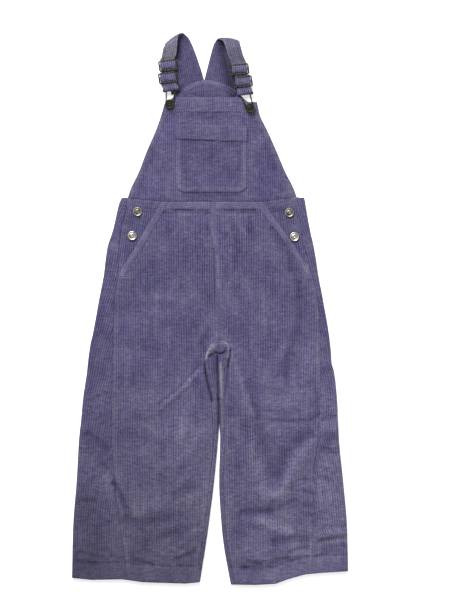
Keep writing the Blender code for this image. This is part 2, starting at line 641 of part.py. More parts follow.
def make_bib(cord, trim):
    """The bib with its turned top edge and patch pocket, and the back bib under it."""
    cloth("bib_front", bib_skin(), CLOTH, cord, flip=True)
    crest = BIB[0].y * MM
    hem_columns = np.linspace(read(BIB, "left", crest) + GAP, read(BIB, "right", crest) - GAP, 9)
    hem = on_bib(hem_columns, (lambda x: crest, lambda x: crest - BIB_HEM / 2, lambda x: crest - BIB_HEM),
                 GAP + TRIM)
    for r, y in enumerate((crest, crest - BIB_HEM / 2, crest - BIB_HEM)):
        left, right = read(BIB, "left", y) + GAP, read(BIB, "right", y) - GAP
        hem[r, :, 0] = np.linspace(left, right, 9)
        hem[r, :, 2] = [bib_height(x, y) + GAP + TRIM for x in hem[r, :, 0]]
    cloth("bib_hem", hem, TRIM, trim, flip=True)

    inner = np.linspace(BIB_POCKET_LEFT + BIB_POCKET_CORNER, BIB_POCKET_RIGHT - BIB_POCKET_CORNER, 7)
    columns = [BIB_POCKET_LEFT, *inner, BIB_POCKET_RIGHT]
    def level(t):
        return lambda x: (1 - t) * edge_height(BIB_POCKET_TOP, x) + t * BIB_POCKET_BOTTOM
    reach = edge_height(BIB_POCKET_TOP, 0.0) - BIB_POCKET_BOTTOM
    steps = [*np.linspace(0.0, 1 - BIB_POCKET_CORNER / reach, 7), 1.0]
    pocket = on_bib(columns, [level(t) for t in steps], GAP + CLOTH)
    for column, inward in ((0, 1), (-1, -1)):
        pocket[-1, column, 0] += inward * BIB_POCKET_CORNER * 0.55
        pocket[-1, column, 1] += BIB_POCKET_CORNER * 0.55
    cloth("bib_pocket", pocket, CLOTH, cord, flip=True)
    lower = BIB_POCKET_HEM / reach
    hem = on_bib(columns, [level(0.0), level(lower)], 2 * GAP + CLOTH + TRIM)
    cloth("bib_pocket_hem", hem, TRIM, trim, flip=True)

    cloth("bib_back", back_bib_skin(), CLOTH, cord, flip=True)
    first, last = ARCH_BAND_ENDS
    band = []
    for depth in (GAP, ARCH_BAND):
        band.append([(x, edge_height(ARCH, x) - GAP - depth, CLOTH + GAP + TRIM)
                     for x in (first, first / 2, ARCH[1].x * MM, last / 2, last)])
    cloth("arch_band", np.array(band), TRIM, trim, flip=True)


def make_slide(name, place, metal):
    """A flat slide with two windows, cast in one piece."""
    curve = bpy.data.curves.new(name, "CURVE")
    curve.dimensions = "2D"
    curve.fill_mode = "BOTH"
    curve.extrude = SLIDE_THICK / 2
    outline(curve, rounded_box(SLIDE_WIDTH, SLIDE_HEIGHT, SLIDE_CORNER))
    window = (SLIDE_HEIGHT - 3 * SLIDE_BAR) / 2
    for side in (-1, 1):
        middle = (0.0, side * (window + SLIDE_BAR) / 2)
        outline(curve, rounded_box(SLIDE_WIDTH - 2 * SLIDE_BAR, window, SLIDE_BAR / 4, middle))
    curve.materials.append(metal)
    piece = bpy.data.objects.new(name, curve)
    COLLECTION.objects.link(piece)
    piece.location = (place.x * MM, place.y * MM, SLIDE_Z)
    piece.rotation_euler = (0.0, 0.0, math.radians(place.turn))


def make_buckle(name, place, button, metal):
    """A bent wire: a bar for the strap, shoulders, and a loop that closes round the button's neck."""
    bar = np.array((place.x, place.y)) * MM
    lower = np.array((button.x, button.y)) * MM
    reach = np.linalg.norm(lower - bar)
    down = (lower - bar) / reach
    side = np.array((-down[1], down[0]))
    tilt = math.radians(place.turn)
    bar_side = np.array((math.cos(tilt), math.sin(tilt)))
    half = [bar + bar_side * BUCKLE_BAR * 0.5, bar + bar_side * BUCKLE_BAR * 0.94]
    half.append(bar + bar_side * BUCKLE_BAR * 1.02 + down * 1.5 * MM)
    half.append(bar + bar_side * BUCKLE_BAR * 0.96 + down * 4.6 * MM)
    half.append(bar + side * BUCKLE_WAIST * 1.35 + down * 7.6 * MM)
    half.append(bar + side * BUCKLE_WAIST * 1.06 + down * 10.5 * MM)
    half.append(bar + side * BUCKLE_WAIST + down * BUCKLE_DROP)
    for angle in (0.0, 30.0, 60.0):
        turn = math.radians(angle)
        half.append(lower + BUCKLE_WAIST * (side * math.cos(turn) + down * math.sin(turn) * 0.85))
    tip = lower + down * BUCKLE_WAIST * 0.85
    other = []
    for point in half:
        from_bar = point - bar
        along, across = from_bar @ down, from_bar @ side
        other.append(bar + down * along - side * across)
    tilted = [bar - bar_side * BUCKLE_BAR * 0.5, bar - bar_side * BUCKLE_BAR * 0.94,
              bar - bar_side * BUCKLE_BAR * 1.02 + down * 1.5 * MM,
              bar - bar_side * BUCKLE_BAR * 0.96 + down * 4.6 * MM]
    other[:4] = tilted
    route = half + [tip] + other[::-1]
    curve = bpy.data.curves.new(name, "CURVE")
    curve.dimensions = "3D"
    curve.bevel_depth = WIRE / 2
    curve.bevel_resolution = 2
    outline(curve, [(*point, BUCKLE_Z) for point in route])
    curve.materials.append(metal)
    piece = bpy.data.objects.new(name, curve)
    COLLECTION.objects.link(piece)


def make_buttons(brass, nickel):
    """Shank buttons: a low dome with a rim, on a neck."""
    head = 2.4 * MM
    for name, place in BIB_BUTTONS.items():
        surface = bib_height(place.x * MM, place.y * MM) + 2 * GAP + TRIM
        neck = BUCKLE_Z + WIRE / 2 + GAP - surface
        turned(f"bib_button_{name}", button_profile(neck, head), place, surface, brass)
    for name, place in SIDE_BUTTONS.items():
        surface = LIFT - CLOTH - POCKET_GAP + GAP
        turned(name, button_profile(1.0 * MM, head), place, surface, nickel)


def button_profile(neck, head):
    r = BUTTON_RADIUS
    return ((0.0, neck + head), (0.55 * r, neck + head), (0.78 * r, neck + 0.8 * head),
            (0.94 * r, neck + 0.86 * head), (r, neck + 0.55 * head), (0.92 * r, neck + 0.1 * head),
            (BUTTON_NECK, neck), (BUTTON_NECK, 0.0), (0.0, 0.0))


for old in list(bpy.data.objects):
    bpy.data.objects.remove(old, do_unlink=True)
COLLECTION = bpy.data.collections.new("bib_overalls")
bpy.context.scene.collection.children.link(COLLECTION)

corduroy = finish("corduroy", (0.115, 0.100, 0.180), 0.92, 0.0)
edge_corduroy = finish("stitched corduroy", (0.150, 0.132, 0.225), 0.90, 0.0)
antique_brass = finish("antique brass", (0.070, 0.058, 0.045), 0.42, 1.0)
worn_nickel = finish("worn nickel", (0.560, 0.545, 0.520), 0.34, 1.0)

make_body(corduroy, edge_corduroy)
make_bib(corduroy, edge_corduroy)
for side_name in ("left", "right"):
    cloth(f"strap_{side_name}", strap_middle(side_name), STRAP_CLOTH, corduroy, offset=0.0)
    for level_name, spot in zip(("upper", "lower"), SLIDES[side_name]):
        make_slide(f"slide_{side_name}_{level_name}", spot, antique_brass)
    make_buckle(f"buckle_{side_name}", BUCKLES[side_name], BIB_BUTTONS[side_name], antique_brass)
make_buttons(antique_brass, worn_nickel)
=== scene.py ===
# Looks of a child's bib overalls in wide-wale corduroy, laid flat on the floor with the front up.
# +Z is up and +Y runs to the straps; left and right are as seen from above.
# Sizes are in millimetres until a mesh is made.
import math

import bpy
import numpy as np
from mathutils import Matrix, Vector


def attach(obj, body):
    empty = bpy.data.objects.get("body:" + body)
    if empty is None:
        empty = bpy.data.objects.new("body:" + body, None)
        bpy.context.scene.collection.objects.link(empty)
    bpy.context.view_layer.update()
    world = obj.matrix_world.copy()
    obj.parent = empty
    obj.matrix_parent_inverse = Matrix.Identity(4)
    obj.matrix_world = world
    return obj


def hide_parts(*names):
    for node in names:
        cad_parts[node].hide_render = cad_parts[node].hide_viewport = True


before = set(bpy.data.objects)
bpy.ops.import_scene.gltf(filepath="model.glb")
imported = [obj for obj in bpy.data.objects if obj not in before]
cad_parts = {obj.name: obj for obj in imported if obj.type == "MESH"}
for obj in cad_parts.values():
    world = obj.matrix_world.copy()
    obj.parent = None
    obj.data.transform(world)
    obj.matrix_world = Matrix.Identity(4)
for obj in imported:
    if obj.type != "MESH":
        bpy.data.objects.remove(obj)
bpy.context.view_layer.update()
mm = 0.001
print("frame loaded:", len(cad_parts), "nodes")


# Colours and materials

def hexToLinear(code):
    values = [int(code[i:i + 2], 16) / 255 for i in (1, 3, 5)]
    return [v / 12.92 if v <= 0.04045 else ((v + 0.055) / 1.055) ** 2.4 for v in values] + [1.0]


# Adds a node. Links are given as input=(node, output), other inputs as values; i0 is the first input.
def addNode(tree, kind, place=(0, 0), settings=None, **inputs):
    node = tree.nodes.new("ShaderNode" + kind)
    node.location = (place[0] * 220, place[1] * 220)
    for key, value in (settings or {}).items():
        setattr(node, key, value)
    for key, value in inputs.items():
        numbered = key[0] == "i" and key[1:].isdigit()
        socket = node.inputs[int(key[1:]) if numbered else key.replace("_", " ")]
        if isinstance(value, tuple) and isinstance(value[0], bpy.types.Node):
            tree.links.new(value[0].outputs[value[1]], socket)
        else:
            socket.default_value = value
    return node


def newMaterial(name):
    material = bpy.data.materials.new(name)
    material.use_nodes = True
    material.node_tree.nodes.clear()
    return material, material.node_tree


# Cotton corduroy, piece-dyed and washed: a cut pile that stands up in ribs, so the crests scatter light
# softly, the grooves between them are darkened with painted shade, and rubbed places turn paler and greyer.
corduroyLook = {
    # the groove colour is painted shade in the grooves between the ribs
    "crest": "#918abb",
    "groove": "#37325b",
    "rubbed": "#aaa7b4",
    "washed": "#8b869e",
    "deepTint": [0.94, 0.92, 1.07, 1.0],    # shaded pile keeps its blue
    "paleTint": [1.04, 1.05, 0.95, 1.0],    # lit pile greys
    "sheenTint": "#c9c4e2",
    "roughness": 0.93,
    "sheen": 0.2,
    "specular": 0.18,
    "level": 0.355,        # how light the whole cloth is
    "pile": 1.3,           # mm, tufts of the pile, drawn three times too coarse so that they show
    "streak": 3.6,         # mm, one wale: some ribs took the dye a little darker
    "bald": 9.0,           # mm along a wale, places where the pile has closed over the groove
    "crumple": 3.3,        # mm, small wrinkles across the wales from washing
    "patch": 34.0,         # mm, uneven fading of a washed garment
    "tuftHeight": 0.4,     # mm
    "wrinkleHeight": 2.0,  # mm
    # how dark and how light each pattern makes the cloth
    "spread": {
        "pile": (0.68, 1.32),
        "streak": (0.92, 1.08),
        "crumple": (0.74, 1.26),
        "patch": (0.84, 1.16),
    },
}


def makeCorduroy(name, look):
    material, tree = newMaterial(name)
    grain = addNode(tree, "Attribute", (-8, 0), {"attribute_name": "grain"})
    groove = addNode(tree, "Attribute", (-8, -2), {"attribute_name": "groove"})
    tone = addNode(tree, "Attribute", (-8, -4), {"attribute_name": "tone"})
    worn = addNode(tree, "Attribute", (-8, -6), {"attribute_name": "worn"})
    # grain is in metres across and along the wales, so one unit of noise is one pattern size, stretched so:
    stretches = {"pile": (1.0, 1.7), "streak": (1.0, 22.0), "bald": (0.45, 1.0), "crumple": (2.8, 1.0),
                 "patch": (1.0, 1.6)}
    details = {"pile": 2.0, "streak": 1.0, "bald": 1.0, "crumple": 3.0, "patch": 3.0}
    noises = {}
    for row, (key, (across, along)) in enumerate(stretches.items()):
        scaled = addNode(tree, "VectorMath", (-7, row), {"operation": "MULTIPLY"}, i0=(grain, "Vector"),
                         i1=[1 / (look[key] * across * mm), 1 / (look[key] * along * mm), 1.0])
        noises[key] = addNode(tree, "TexNoise", (-6, row), None, Vector=(scaled, "Vector"), Scale=1.0,
                              Detail=details[key], Roughness=0.6,
                              Distortion=0.5 if key == "crumple" else 0.0)
    closed = addNode(tree, "MapRange", (-5, -2), None, Value=(noises["bald"], "Fac"),
                     From_Min=0.3, From_Max=0.62, To_Min=0.45, To_Max=1.0)
    depth = addNode(tree, "Math", (-4, -2), {"operation": "MULTIPLY"},
                    i0=(groove, "Fac"), i1=(closed, "Result"))
    # painted shade: the groove attribute mixes the dark groove colour into the grooves between the ribs
    rib = addNode(tree, "Mix", (-3, 0), {"data_type": "RGBA"}, Factor=(depth, "Value"),
                  A=hexToLinear(look["crest"]), B=hexToLinear(look["groove"]))
    fading = addNode(tree, "MapRange", (-4, -1), None, Value=(noises["patch"], "Fac"),
                     From_Min=0.4, From_Max=0.68, To_Min=0.0, To_Max=0.4)
    washed = addNode(tree, "Mix", (-2, 0), {"data_type": "RGBA"}, Factor=(fading, "Result"),
                     A=(rib, 2), B=hexToLinear(look["washed"]))
    rubbed = addNode(tree, "Mix", (-1, 0), {"data_type": "RGBA"}, Factor=(worn, "Fac"),
                     A=(washed, 2), B=hexToLinear(look["rubbed"]))
    # every cause of light and dark multiplies the next, the painted light and shade in tone among them
    level = None
    for row, (key, (low, high)) in enumerate(look["spread"].items()):
        part = addNode(tree, "MapRange", (-5, row + 1), None, Value=(noises[key], "Fac"),
                       From_Min=0.3, From_Max=0.7, To_Min=low, To_Max=high)
        level = addNode(tree, "Math", (-4 + row, 3), {"operation": "MULTIPLY"}, i0=(part, "Result"),
                        i1=(tone, "Fac") if level is None else (level, "Value"))
    strength = addNode(tree, "Math", (-1, 1), {"operation": "MULTIPLY"},
                       i0=(level, "Value"), i1=look["level"])
    lit = addNode(tree, "MapRange", (-1, 2), None, Value=(level, "Value"), From_Min=0.6, From_Max=1.4)
    tint = addNode(tree, "Mix", (0, 2), {"data_type": "RGBA"}, Factor=(lit, "Result"),
                   A=look["deepTint"], B=look["paleTint"])
    tinted = addNode(tree, "VectorMath", (0, 1), {"operation": "MULTIPLY"}, i0=(rubbed, 2), i1=(tint, 2))
    colour = addNode(tree, "VectorMath", (0, 0), {"operation": "SCALE"}, i0=(tinted, "Vector"),
                     Scale=(strength, "Value"))
    tufts = addNode(tree, "Bump", (0, -2), None, Height=(noises["pile"], "Fac"),
                    Strength=0.4, Distance=look["tuftHeight"] * mm)
    wrinkles = addNode(tree, "Bump", (0, -3), None, Height=(noises["crumple"], "Fac"),
                       Strength=0.55, Distance=look["wrinkleHeight"] * mm, Normal=(tufts, "Normal"))
    shader = addNode(tree, "BsdfPrincipled", (1, 0), None, Base_Color=(colour, "Vector"),
                     Normal=(wrinkles, "Normal"), Roughness=look["roughness"],
                     Sheen_Weight=look["sheen"], Sheen_Roughness=0.45,
                     Sheen_Tint=hexToLinear(look["sheenTint"]), Specular_IOR_Level=look["specular"])
    addNode(tree, "OutputMaterial", (2, 0), None, Surface=(shader, "BSDF"))
    return material


corduroy = makeCorduroy("washed cotton corduroy", corduroyLook)

# The same cloth pressed and stitched down in strips, where ironing has laid the pile flatter: paler and
# with a little more sheen.
stripLook = dict(corduroyLook, crest="#948dbb", groove="#4d4871", sheen=0.3, roughness=0.88, crumple=3.6)
stripCorduroy = makeCorduroy("pressed corduroy strip", stripLook)

# Polyester core thread, twisted and dyed to match the cloth: it is a little smoother than the pile.
threadLook = {"colour": "#5f597f", "roughness": 0.62, "twist": 0.8}


def makeThread(name, look):
    material, tree = newMaterial(name)
    place = addNode(tree, "TexCoord", (-3, 0))
    twist = addNode(tree, "TexNoise", (-2, 0), None, Vector=(place, "Object"),
                    Scale=1 / (look["twist"] * mm), Detail=1.0)
    shade = addNode(tree, "MapRange", (-1, 0), None, Value=(twist, "Fac"), To_Min=0.75, To_Max=1.2)
    colour = addNode(tree, "VectorMath", (0, 0), {"operation": "SCALE"}, i0=hexToLinear(look["colour"])[:3],
                     Scale=(shade, "Result"))
    shader = addNode(tree, "BsdfPrincipled", (1, 0), None, Base_Color=(colour, "Vector"),
                     Roughness=look["roughness"])
    addNode(tree, "OutputMaterial", (2, 0), None, Surface=(shader, "BSDF"))
    return material


thread = makeThread("polyester topstitch thread", threadLook)

# Zinc castings plated with brass and darkened: nearly black in the recesses, bronze where hands rub it.
brassLook = {
    "dark": "#191815",
    "bright": "#4f4b40",
    "roughness": 0.46,
    "mottle": 2.2,        # mm, patches of tarnish
    "pitting": 0.12,      # mm deep
    "edgeWear": 0.7,
}
# The same plating on the bib buttons, which have lost their shine.
dullLook = dict(brassLook, dark="#1b1a15", bright="#3d3a30", roughness=0.58, mottle=2.6)
# Nickel-plated steel, scratched dull by washing: grey and bright.
nickelLook = dict(brassLook, dark="#7d7871", bright="#b9b4ad", roughness=0.3, mottle=1.8)
# Nickel on the upper pair of side buttons, fastened more often: it has tarnished brown.
tarnishLook = dict(brassLook, dark="#3f3c36", bright="#8b867c", roughness=0.38, mottle=2.6)


def makeMetal(name, look):
    material, tree = newMaterial(name)
    place = addNode(tree, "TexCoord", (-4, 0))
    mottle = addNode(tree, "TexNoise", (-3, 0), None, Vector=(place, "Object"),
                     Scale=1 / (look["mottle"] * mm), Detail=4.0, Roughness=0.65)
    edge = addNode(tree, "Attribute", (-3, -1), {"attribute_name": "edge"})
    wear = addNode(tree, "MapRange", (-2, 0), None, Value=(mottle, "Fac"), From_Min=0.4, From_Max=0.65)
    mixed = addNode(tree, "Math", (-1, 0), {"operation": "MULTIPLY_ADD", "use_clamp": True},
                    i0=(edge, "Fac"), i1=look["edgeWear"], i2=(wear, "Result"))
    colour = addNode(tree, "Mix", (0, 0), {"data_type": "RGBA"}, Factor=(mixed, "Value"),
                     A=hexToLinear(look["dark"]), B=hexToLinear(look["bright"]))
    rough = addNode(tree, "MapRange", (0, -1), None, Value=(mottle, "Fac"),
                    To_Min=look["roughness"] - 0.12, To_Max=look["roughness"] + 0.2)
    bump = addNode(tree, "Bump", (0, -2), None, Height=(mottle, "Fac"),
                   Strength=0.25, Distance=look["pitting"] * mm)
    shader = addNode(tree, "BsdfPrincipled", (1, 0), None, Base_Color=(colour, 2), Metallic=1.0,
                     Roughness=(rough, "Result"), Normal=(bump, "Normal"))
    addNode(tree, "OutputMaterial", (2, 0), None, Surface=(shader, "BSDF"))
    return material


antiqueBrass = makeMetal("antique brass plating", brassLook)
dullBrass = makeMetal("dulled brass plating", dullLook)
wornNickel = makeMetal("worn nickel plating", nickelLook)
tarnishedNickel = makeMetal("tarnished nickel plating", tarnishLook)
print("materials made")


# Reading tables

# Monotone cubic through the knots, so the edges run smoothly from row to row without overshoot.
def ease(knots, values, at):
    knots, values = np.asarray(knots, float), np.asarray(values, float)
    at = np.clip(at, knots[0], knots[-1])
    steps = np.diff(values) / np.diff(knots)
    slopes = np.zeros(len(knots))
    slopes[0], slopes[-1] = steps[0], steps[-1]
    same = steps[:-1] * steps[1:] > 0
    slopes[1:-1][same] = (2 * steps[:-1] * steps[1:])[same] / (steps[:-1] + steps[1:])[same]
    i = np.clip(np.searchsorted(knots, at, side="right") - 1, 0, len(knots) - 2)
    span = knots[i + 1] - knots[i]
    t = (at - knots[i]) / span
    return ((1 + 2 * t) * (1 - t) ** 2 * values[i] + t * t * (3 - 2 * t) * values[i + 1]
            + span * (t * (1 - t) ** 2 * slopes[i] - t * t * (1 - t) * slopes[i + 1]))


def readColumn(table, column, y):
    rows = sorted(table)
    return ease([row[0] for row in rows], [row[column] for row in rows], y)


# line is a row of (place, value) points, joined by straight lines.
def readLine(line, at):
    return np.interp(at, [point[0] for point in line], [point[1] for point in line])


def smooth(t):
    t = np.clip(t, 0.0, 1.0)
    return t * t * (3 - 2 * t)


# Places between two edges that are given for each row
def between(left, right, count):
    t = np.linspace(0.0, 1.0, count)
    return left[:, None] * (1 - t) + right[:, None] * t


# How far along a chain of points each one is
def runLength(points):
    return np.concatenate(([0.0], np.cumsum(np.linalg.norm(np.diff(points, axis=0), axis=1))))


# Creases: x and y of both ends, width, height (a trough where it is negative) and, where the line isn't
# straight, how far it bows. They fade out at their ends.
def creases(table, x, y):
    total = np.zeros(np.broadcast(x, y).shape)
    for x0, y0, x1, y1, width, height, *bowed in table:
        bow = bowed[0] if bowed else 0.0
        run = math.hypot(x1 - x0, y1 - y0)
        t = ((x - x0) * (x1 - x0) + (y - y0) * (y1 - y0)) / run ** 2
        aside = ((y - y0) * (x1 - x0) - (x - x0) * (y1 - y0)) / run
        aside = aside - bow * 4 * np.clip(t, 0, 1) * (1 - np.clip(t, 0, 1))
        past = np.maximum(np.abs(t - 0.5) - 0.5, 0) * run
        fade = smooth((1 - np.abs(2 * t - 1)) * run / (2.4 * width) + 0.35)
        total += height * fade * np.exp(-(aside ** 2 + past ** 2) / width ** 2)
    return total


# Slow unevenness of a soft cloth, from a few waves of different lengths.
def ripple(x, y):
    a = np.sin(x / 17.0 + 1.7 * np.sin(y / 43.0)) * np.sin(y / 26.0 + 0.6)
    b = np.sin((x + y) / 31.0 + 2.0) * np.sin((y - 0.4 * x) / 47.0 + np.sin(x / 21.0))
    c = np.sin(x / 9.5 + y / 37.0) * np.sin(y / 14.0 - x / 55.0)
    return 0.30 * a + 0.45 * b + 0.14 * c


# Panels cut along their wales

wale = {
    "leg": 3.6,                        # one rib with its groove
    "bib": 3.2,
    "groove": 0.62,                    # how deep the groove is
    "stops": (0.0, 0.3, 0.7),          # where mesh points stand in one wale
    "dips": (1.0, 0.1, 0.1),           # how far down the groove each one is
    "cutOff": 0.4,                     # the same, where a panel's edge cuts the wale off
    "inside": 0.5,                     # how dark the plain inner face is, as a share of the groove
    "crispFrom": 62.0,                 # degrees, sharper edges of the cloth stay crisp
}


# front_left becomes frontLeft
def ownName(node):
    first, *rest = node.split("_")
    return first + "".join(word.capitalize() for word in rest)


def setValues(mesh, name, values):
    attribute = mesh.attributes.new(name, "FLOAT", "POINT")
    attribute.data.foreach_set("value", np.ascontiguousarray(values, np.float32))


# Puts a mesh or a curve in the scene as the piece that stands for a node.
def addPiece(node, data, material):
    data.materials.append(material)
    piece = bpy.data.objects.new(ownName(node), data)
    bpy.context.scene.collection.objects.link(piece)
    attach(piece, "root")
    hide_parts(node)
    return piece


# Cuts one piece of cloth. skin, rows x points x 3, is its outer face. across, the wale coordinate, rises
# along each row, and along runs down the wales. A column of mesh points follows each wale and ends where
# the wale runs off the panel's edge. up is -1 where the rows run the other way round. tone is how light
# the cloth is, painted light and shade included, worn how far its pile is rubbed, and ribbed how far the
# wales stand up. A doubled cloth has wales on its inner face too, and underTone gives that face its own
# tone. slit is a row past whose end nothing joins it to the next row.
def cutPanel(name, skin, across, along, tone, worn, up=1, pitch=wale["leg"], groove=wale["groove"],
             thick=1.5, doubled=False, slit=None, ribbed=1.0, material=None,
             underTone=None):
    normal = np.cross(np.gradient(skin, axis=1), np.gradient(skin, axis=0)) * up
    normal /= np.maximum(np.linalg.norm(normal, axis=2, keepdims=True), 1e-9)
    ribs = np.arange(math.floor(across.min() / pitch), math.ceil(across.max() / pitch) + 1)
    columns = (ribs[:, None] + np.array(wale["stops"])).ravel() * pitch
    rows, count = len(skin), len(columns)
    tone = np.broadcast_to(tone, skin.shape[:2])
    worn = np.broadcast_to(worn, skin.shape[:2])
    ribbed = np.broadcast_to(ribbed, skin.shape[:2])
    fields = np.concatenate([skin, normal, np.stack((along, tone, worn, ribbed), axis=2)], axis=2)
    found = np.empty((rows, count, fields.shape[2]))
    dip = np.tile(wale["dips"], (rows, len(ribs)))
    index = np.arange(rows * count).reshape(rows, count)
    for r in range(rows):
        first, last = across[r, 0], across[r, -1]
        at = np.clip(columns, first, last)
        for k in range(fields.shape[2]):
            found[r, :, k] = np.interp(at, across[r], fields[r, :, k])
        low = int(np.searchsorted(columns, first))
        high = int(np.searchsorted(columns, last, side="right"))
        if low > 0:
            index[r, :low] = index[r, low - 1]
            dip[r, :low] = wale["cutOff"]
        if high < count:
            index[r, high:] = index[r, high]
            dip[r, high:] = wale["cutOff"]
    # faces between the rows: a square where both rows go on, a triangle where one of them ends
    corners = np.stack((index[:-1, :-1], index[:-1, 1:], index[1:, 1:], index[1:, :-1]), axis=-1)
    if slit is not None:
        past = np.searchsorted(columns, across[slit, -1], side="right")
        corners[slit, past:] = corners[slit, past:, :1]
    quads = corners.reshape(-1, 4)
    upperSame, lowerSame = quads[:, 0] == quads[:, 1], quads[:, 2] == quads[:, 3]
    full = quads[~upperSame & ~lowerSame]
    triples = np.concatenate((quads[upperSame & ~lowerSame][:, [0, 2, 3]],
                              quads[~upperSame & lowerSame][:, [0, 1, 2]]))
    if up < 0:
        full, triples = full[:, ::-1], triples[:, ::-1]
    used = np.unique(np.concatenate((full.ravel(), triples.ravel())))
    renumber = np.zeros(rows * count, int)
    renumber[used] = np.arange(len(used))
    full, triples, total = renumber[full], renumber[triples], len(used)

    flat = found.reshape(-1, fields.shape[2])[used]
    at, out = flat[:, :3], flat[:, 3:6]
    along, tone, worn, ribbed = flat[:, 6:].T
    dip = dip.ravel()[used] * ribbed
    out = out / np.maximum(np.linalg.norm(out, axis=1, keepdims=True), 1e-9)
    outer = at - out * (groove * dip)[:, None]
    inner = at - out * ((thick - groove * dip)[:, None] if doubled else thick)
    inner[:, 2] = np.maximum(inner[:, 2], 0.0)

    # the rim joins the edges that belong to one face only
    edges = np.concatenate([full[:, [i, (i + 1) % 4]] for i in range(4)]
                           + [triples[:, [i, (i + 1) % 3]] for i in range(3)])
    keys = edges[:, 0] * total + edges[:, 1]
    rim = edges[~np.isin(keys, edges[:, 1] * total + edges[:, 0])]
    rim = np.stack((rim[:, 1], rim[:, 0], rim[:, 0] + total, rim[:, 1] + total), axis=1)
    faces = (full.tolist() + triples.tolist() + (full[:, ::-1] + total).tolist()
             + (triples[:, ::-1] + total).tolist() + rim.tolist())

    mesh = bpy.data.meshes.new(ownName(name))
    mesh.from_pydata((np.concatenate((outer, inner)) * mm).tolist(), [], faces)
    # the groove value also darkens the grooves in the material: painted shade
    setValues(mesh, "groove", np.concatenate((dip, dip if doubled else np.full(total, wale["inside"]))))
    under = underTone(along, tone) if underTone else tone
    setValues(mesh, "tone", np.concatenate((tone, under)))
    setValues(mesh, "worn", np.tile(worn, 2))
    # the patterns' own coordinates; the inner face takes another part of them
    byWale = np.clip(np.tile(columns, rows)[used], across.min(), across.max())
    place = np.stack((byWale * mm, along * mm, np.zeros(total)), axis=1)
    place = np.concatenate((place, place + [0, 0, 1.0]))
    grain = mesh.attributes.new("grain", "FLOAT_VECTOR", "POINT")
    grain.data.foreach_set("vector", place.astype(np.float32).ravel())
    mesh.shade_smooth()
    mesh.set_sharp_from_angle(angle=math.radians(wale["crispFrom"]))
    piece = addPiece(name, mesh, material or corduroy)


# The flattened body

body = {
    "lift": 7.0,              # outer skin of the upper layer above the floor
    "roll": 3.6,              # roundness of the folded edges
    "forkLip": 2.2,           # height of the folded edge where the legs part
    "deepest": 3.2,           # how far a trough may go down before the layers touch
    "seam": 0.2,              # between two panels
    "gap": 0.3,               # between the halves of the waist, and at the back seam
    "waist": 160.0,
    "top": 166.0,             # where the back panels end under the bib
    "fork": -43.5,            # where the legs part
    "forkRows": (-46, -48, -50, -52, -54, -56, -58, -60, -62, -64, -66, -68, -70, -72, -74.5, -77, -79),
    "hem": -407.0,
    "hemEase": -280.0,        # below this the rows bend towards the hem's own line
    "hemHeight": 24.0,        # turned up and stitched
    "rowStep": 2.6,           # from one row of mesh points to the next
    "frontPoints": 151,       # mesh points across a front panel
    "runPoints": 60,          # and in each flat run of a back panel
    "lean": 0.07,             # how far the back panels' wales lean outwards down the leg
}
foldAngles = range(12, 180, 12)     # degrees, round a folded edge
wear = {"pocketEdge": 0.16, "seam": 0.14, "fold": 0.12, "inside": 3.5, "reach": 2.5}
# where the legs part: the pale lip with a painted highlight, the hollow with painted shade, and the rubbed
# fold
crotch = {
    "lipRise": 1.6,
    "hollowDepth": 2.4,
    # the lip is pale cloth with a painted highlight, the hollows are painted shade
    "lipPaleAndLit": 0.42,          # how much lighter
    "hollowPaintedShade": 0.93,       # how much darker
    "frontHollowTone": 0.8,
    "lipWear": 0.6,
    "foldWear": 0.08,
}
# y, outer fold, back panel's edge on the front, front panel's outer edge, inner edge (centre seam, then
# inseam), inner fold, dip of that fold below the row, roundness of the fold
leftBody = (
    (166, -132.5, -124.5, -70, 4.7, 4.7, 0, 3.6),
    (160, -135.5, -124.5, -73, 4.7, 4.7, 0, 3.6),
    (118, -145.5, -133, -97, 5, 5, -3, 3.6),
    (91, -154, -136.5, -112.5, 10, 10, -5, 3.6),
    (47, -160, -138, -137, 12.2, 12.2, -9, 3.6),
    (13, -166.5, -143, -143, 12.4, 12.4, -13, 3.6),
    (-43.5, -177, -145, -145, 14.2, 12, -24, 3.6),
    (-49, -178.5, -145.2, -145.2, 5, 11.95, -21.5, 3.6),
    (-57, -180, -145.4, -145.4, -1.5, 11.6, -16.5, 4),
    (-67.5, -181.5, -145.6, -145.6, -6, 11.1, -9, 6.5),
    (-79, -183, -145.8, -145.8, -7.5, 10.8, -2, 5),
    (-94, -184.5, -146, -146, -7, 10.6, 0, 4.5),
    (-136, -190.5, -146.5, -146.5, 2, 13.05, 0, 3.6),
    (-167, -193.5, -146.8, -146.8, 3.6, 13.9, 0, 3.6),
    (-197, -196.5, -147, -147, 4.5, 12, 0, 3.6),
    (-257, -200, -143, -143, -0.5, 6.5, 0, 3.6),
    (-332, -205.5, -133.5, -133.5, -9.5, -3, 0, 3.6),
    (-407, -207, -123, -123, -21.5, -15, 0, 3.6),
)
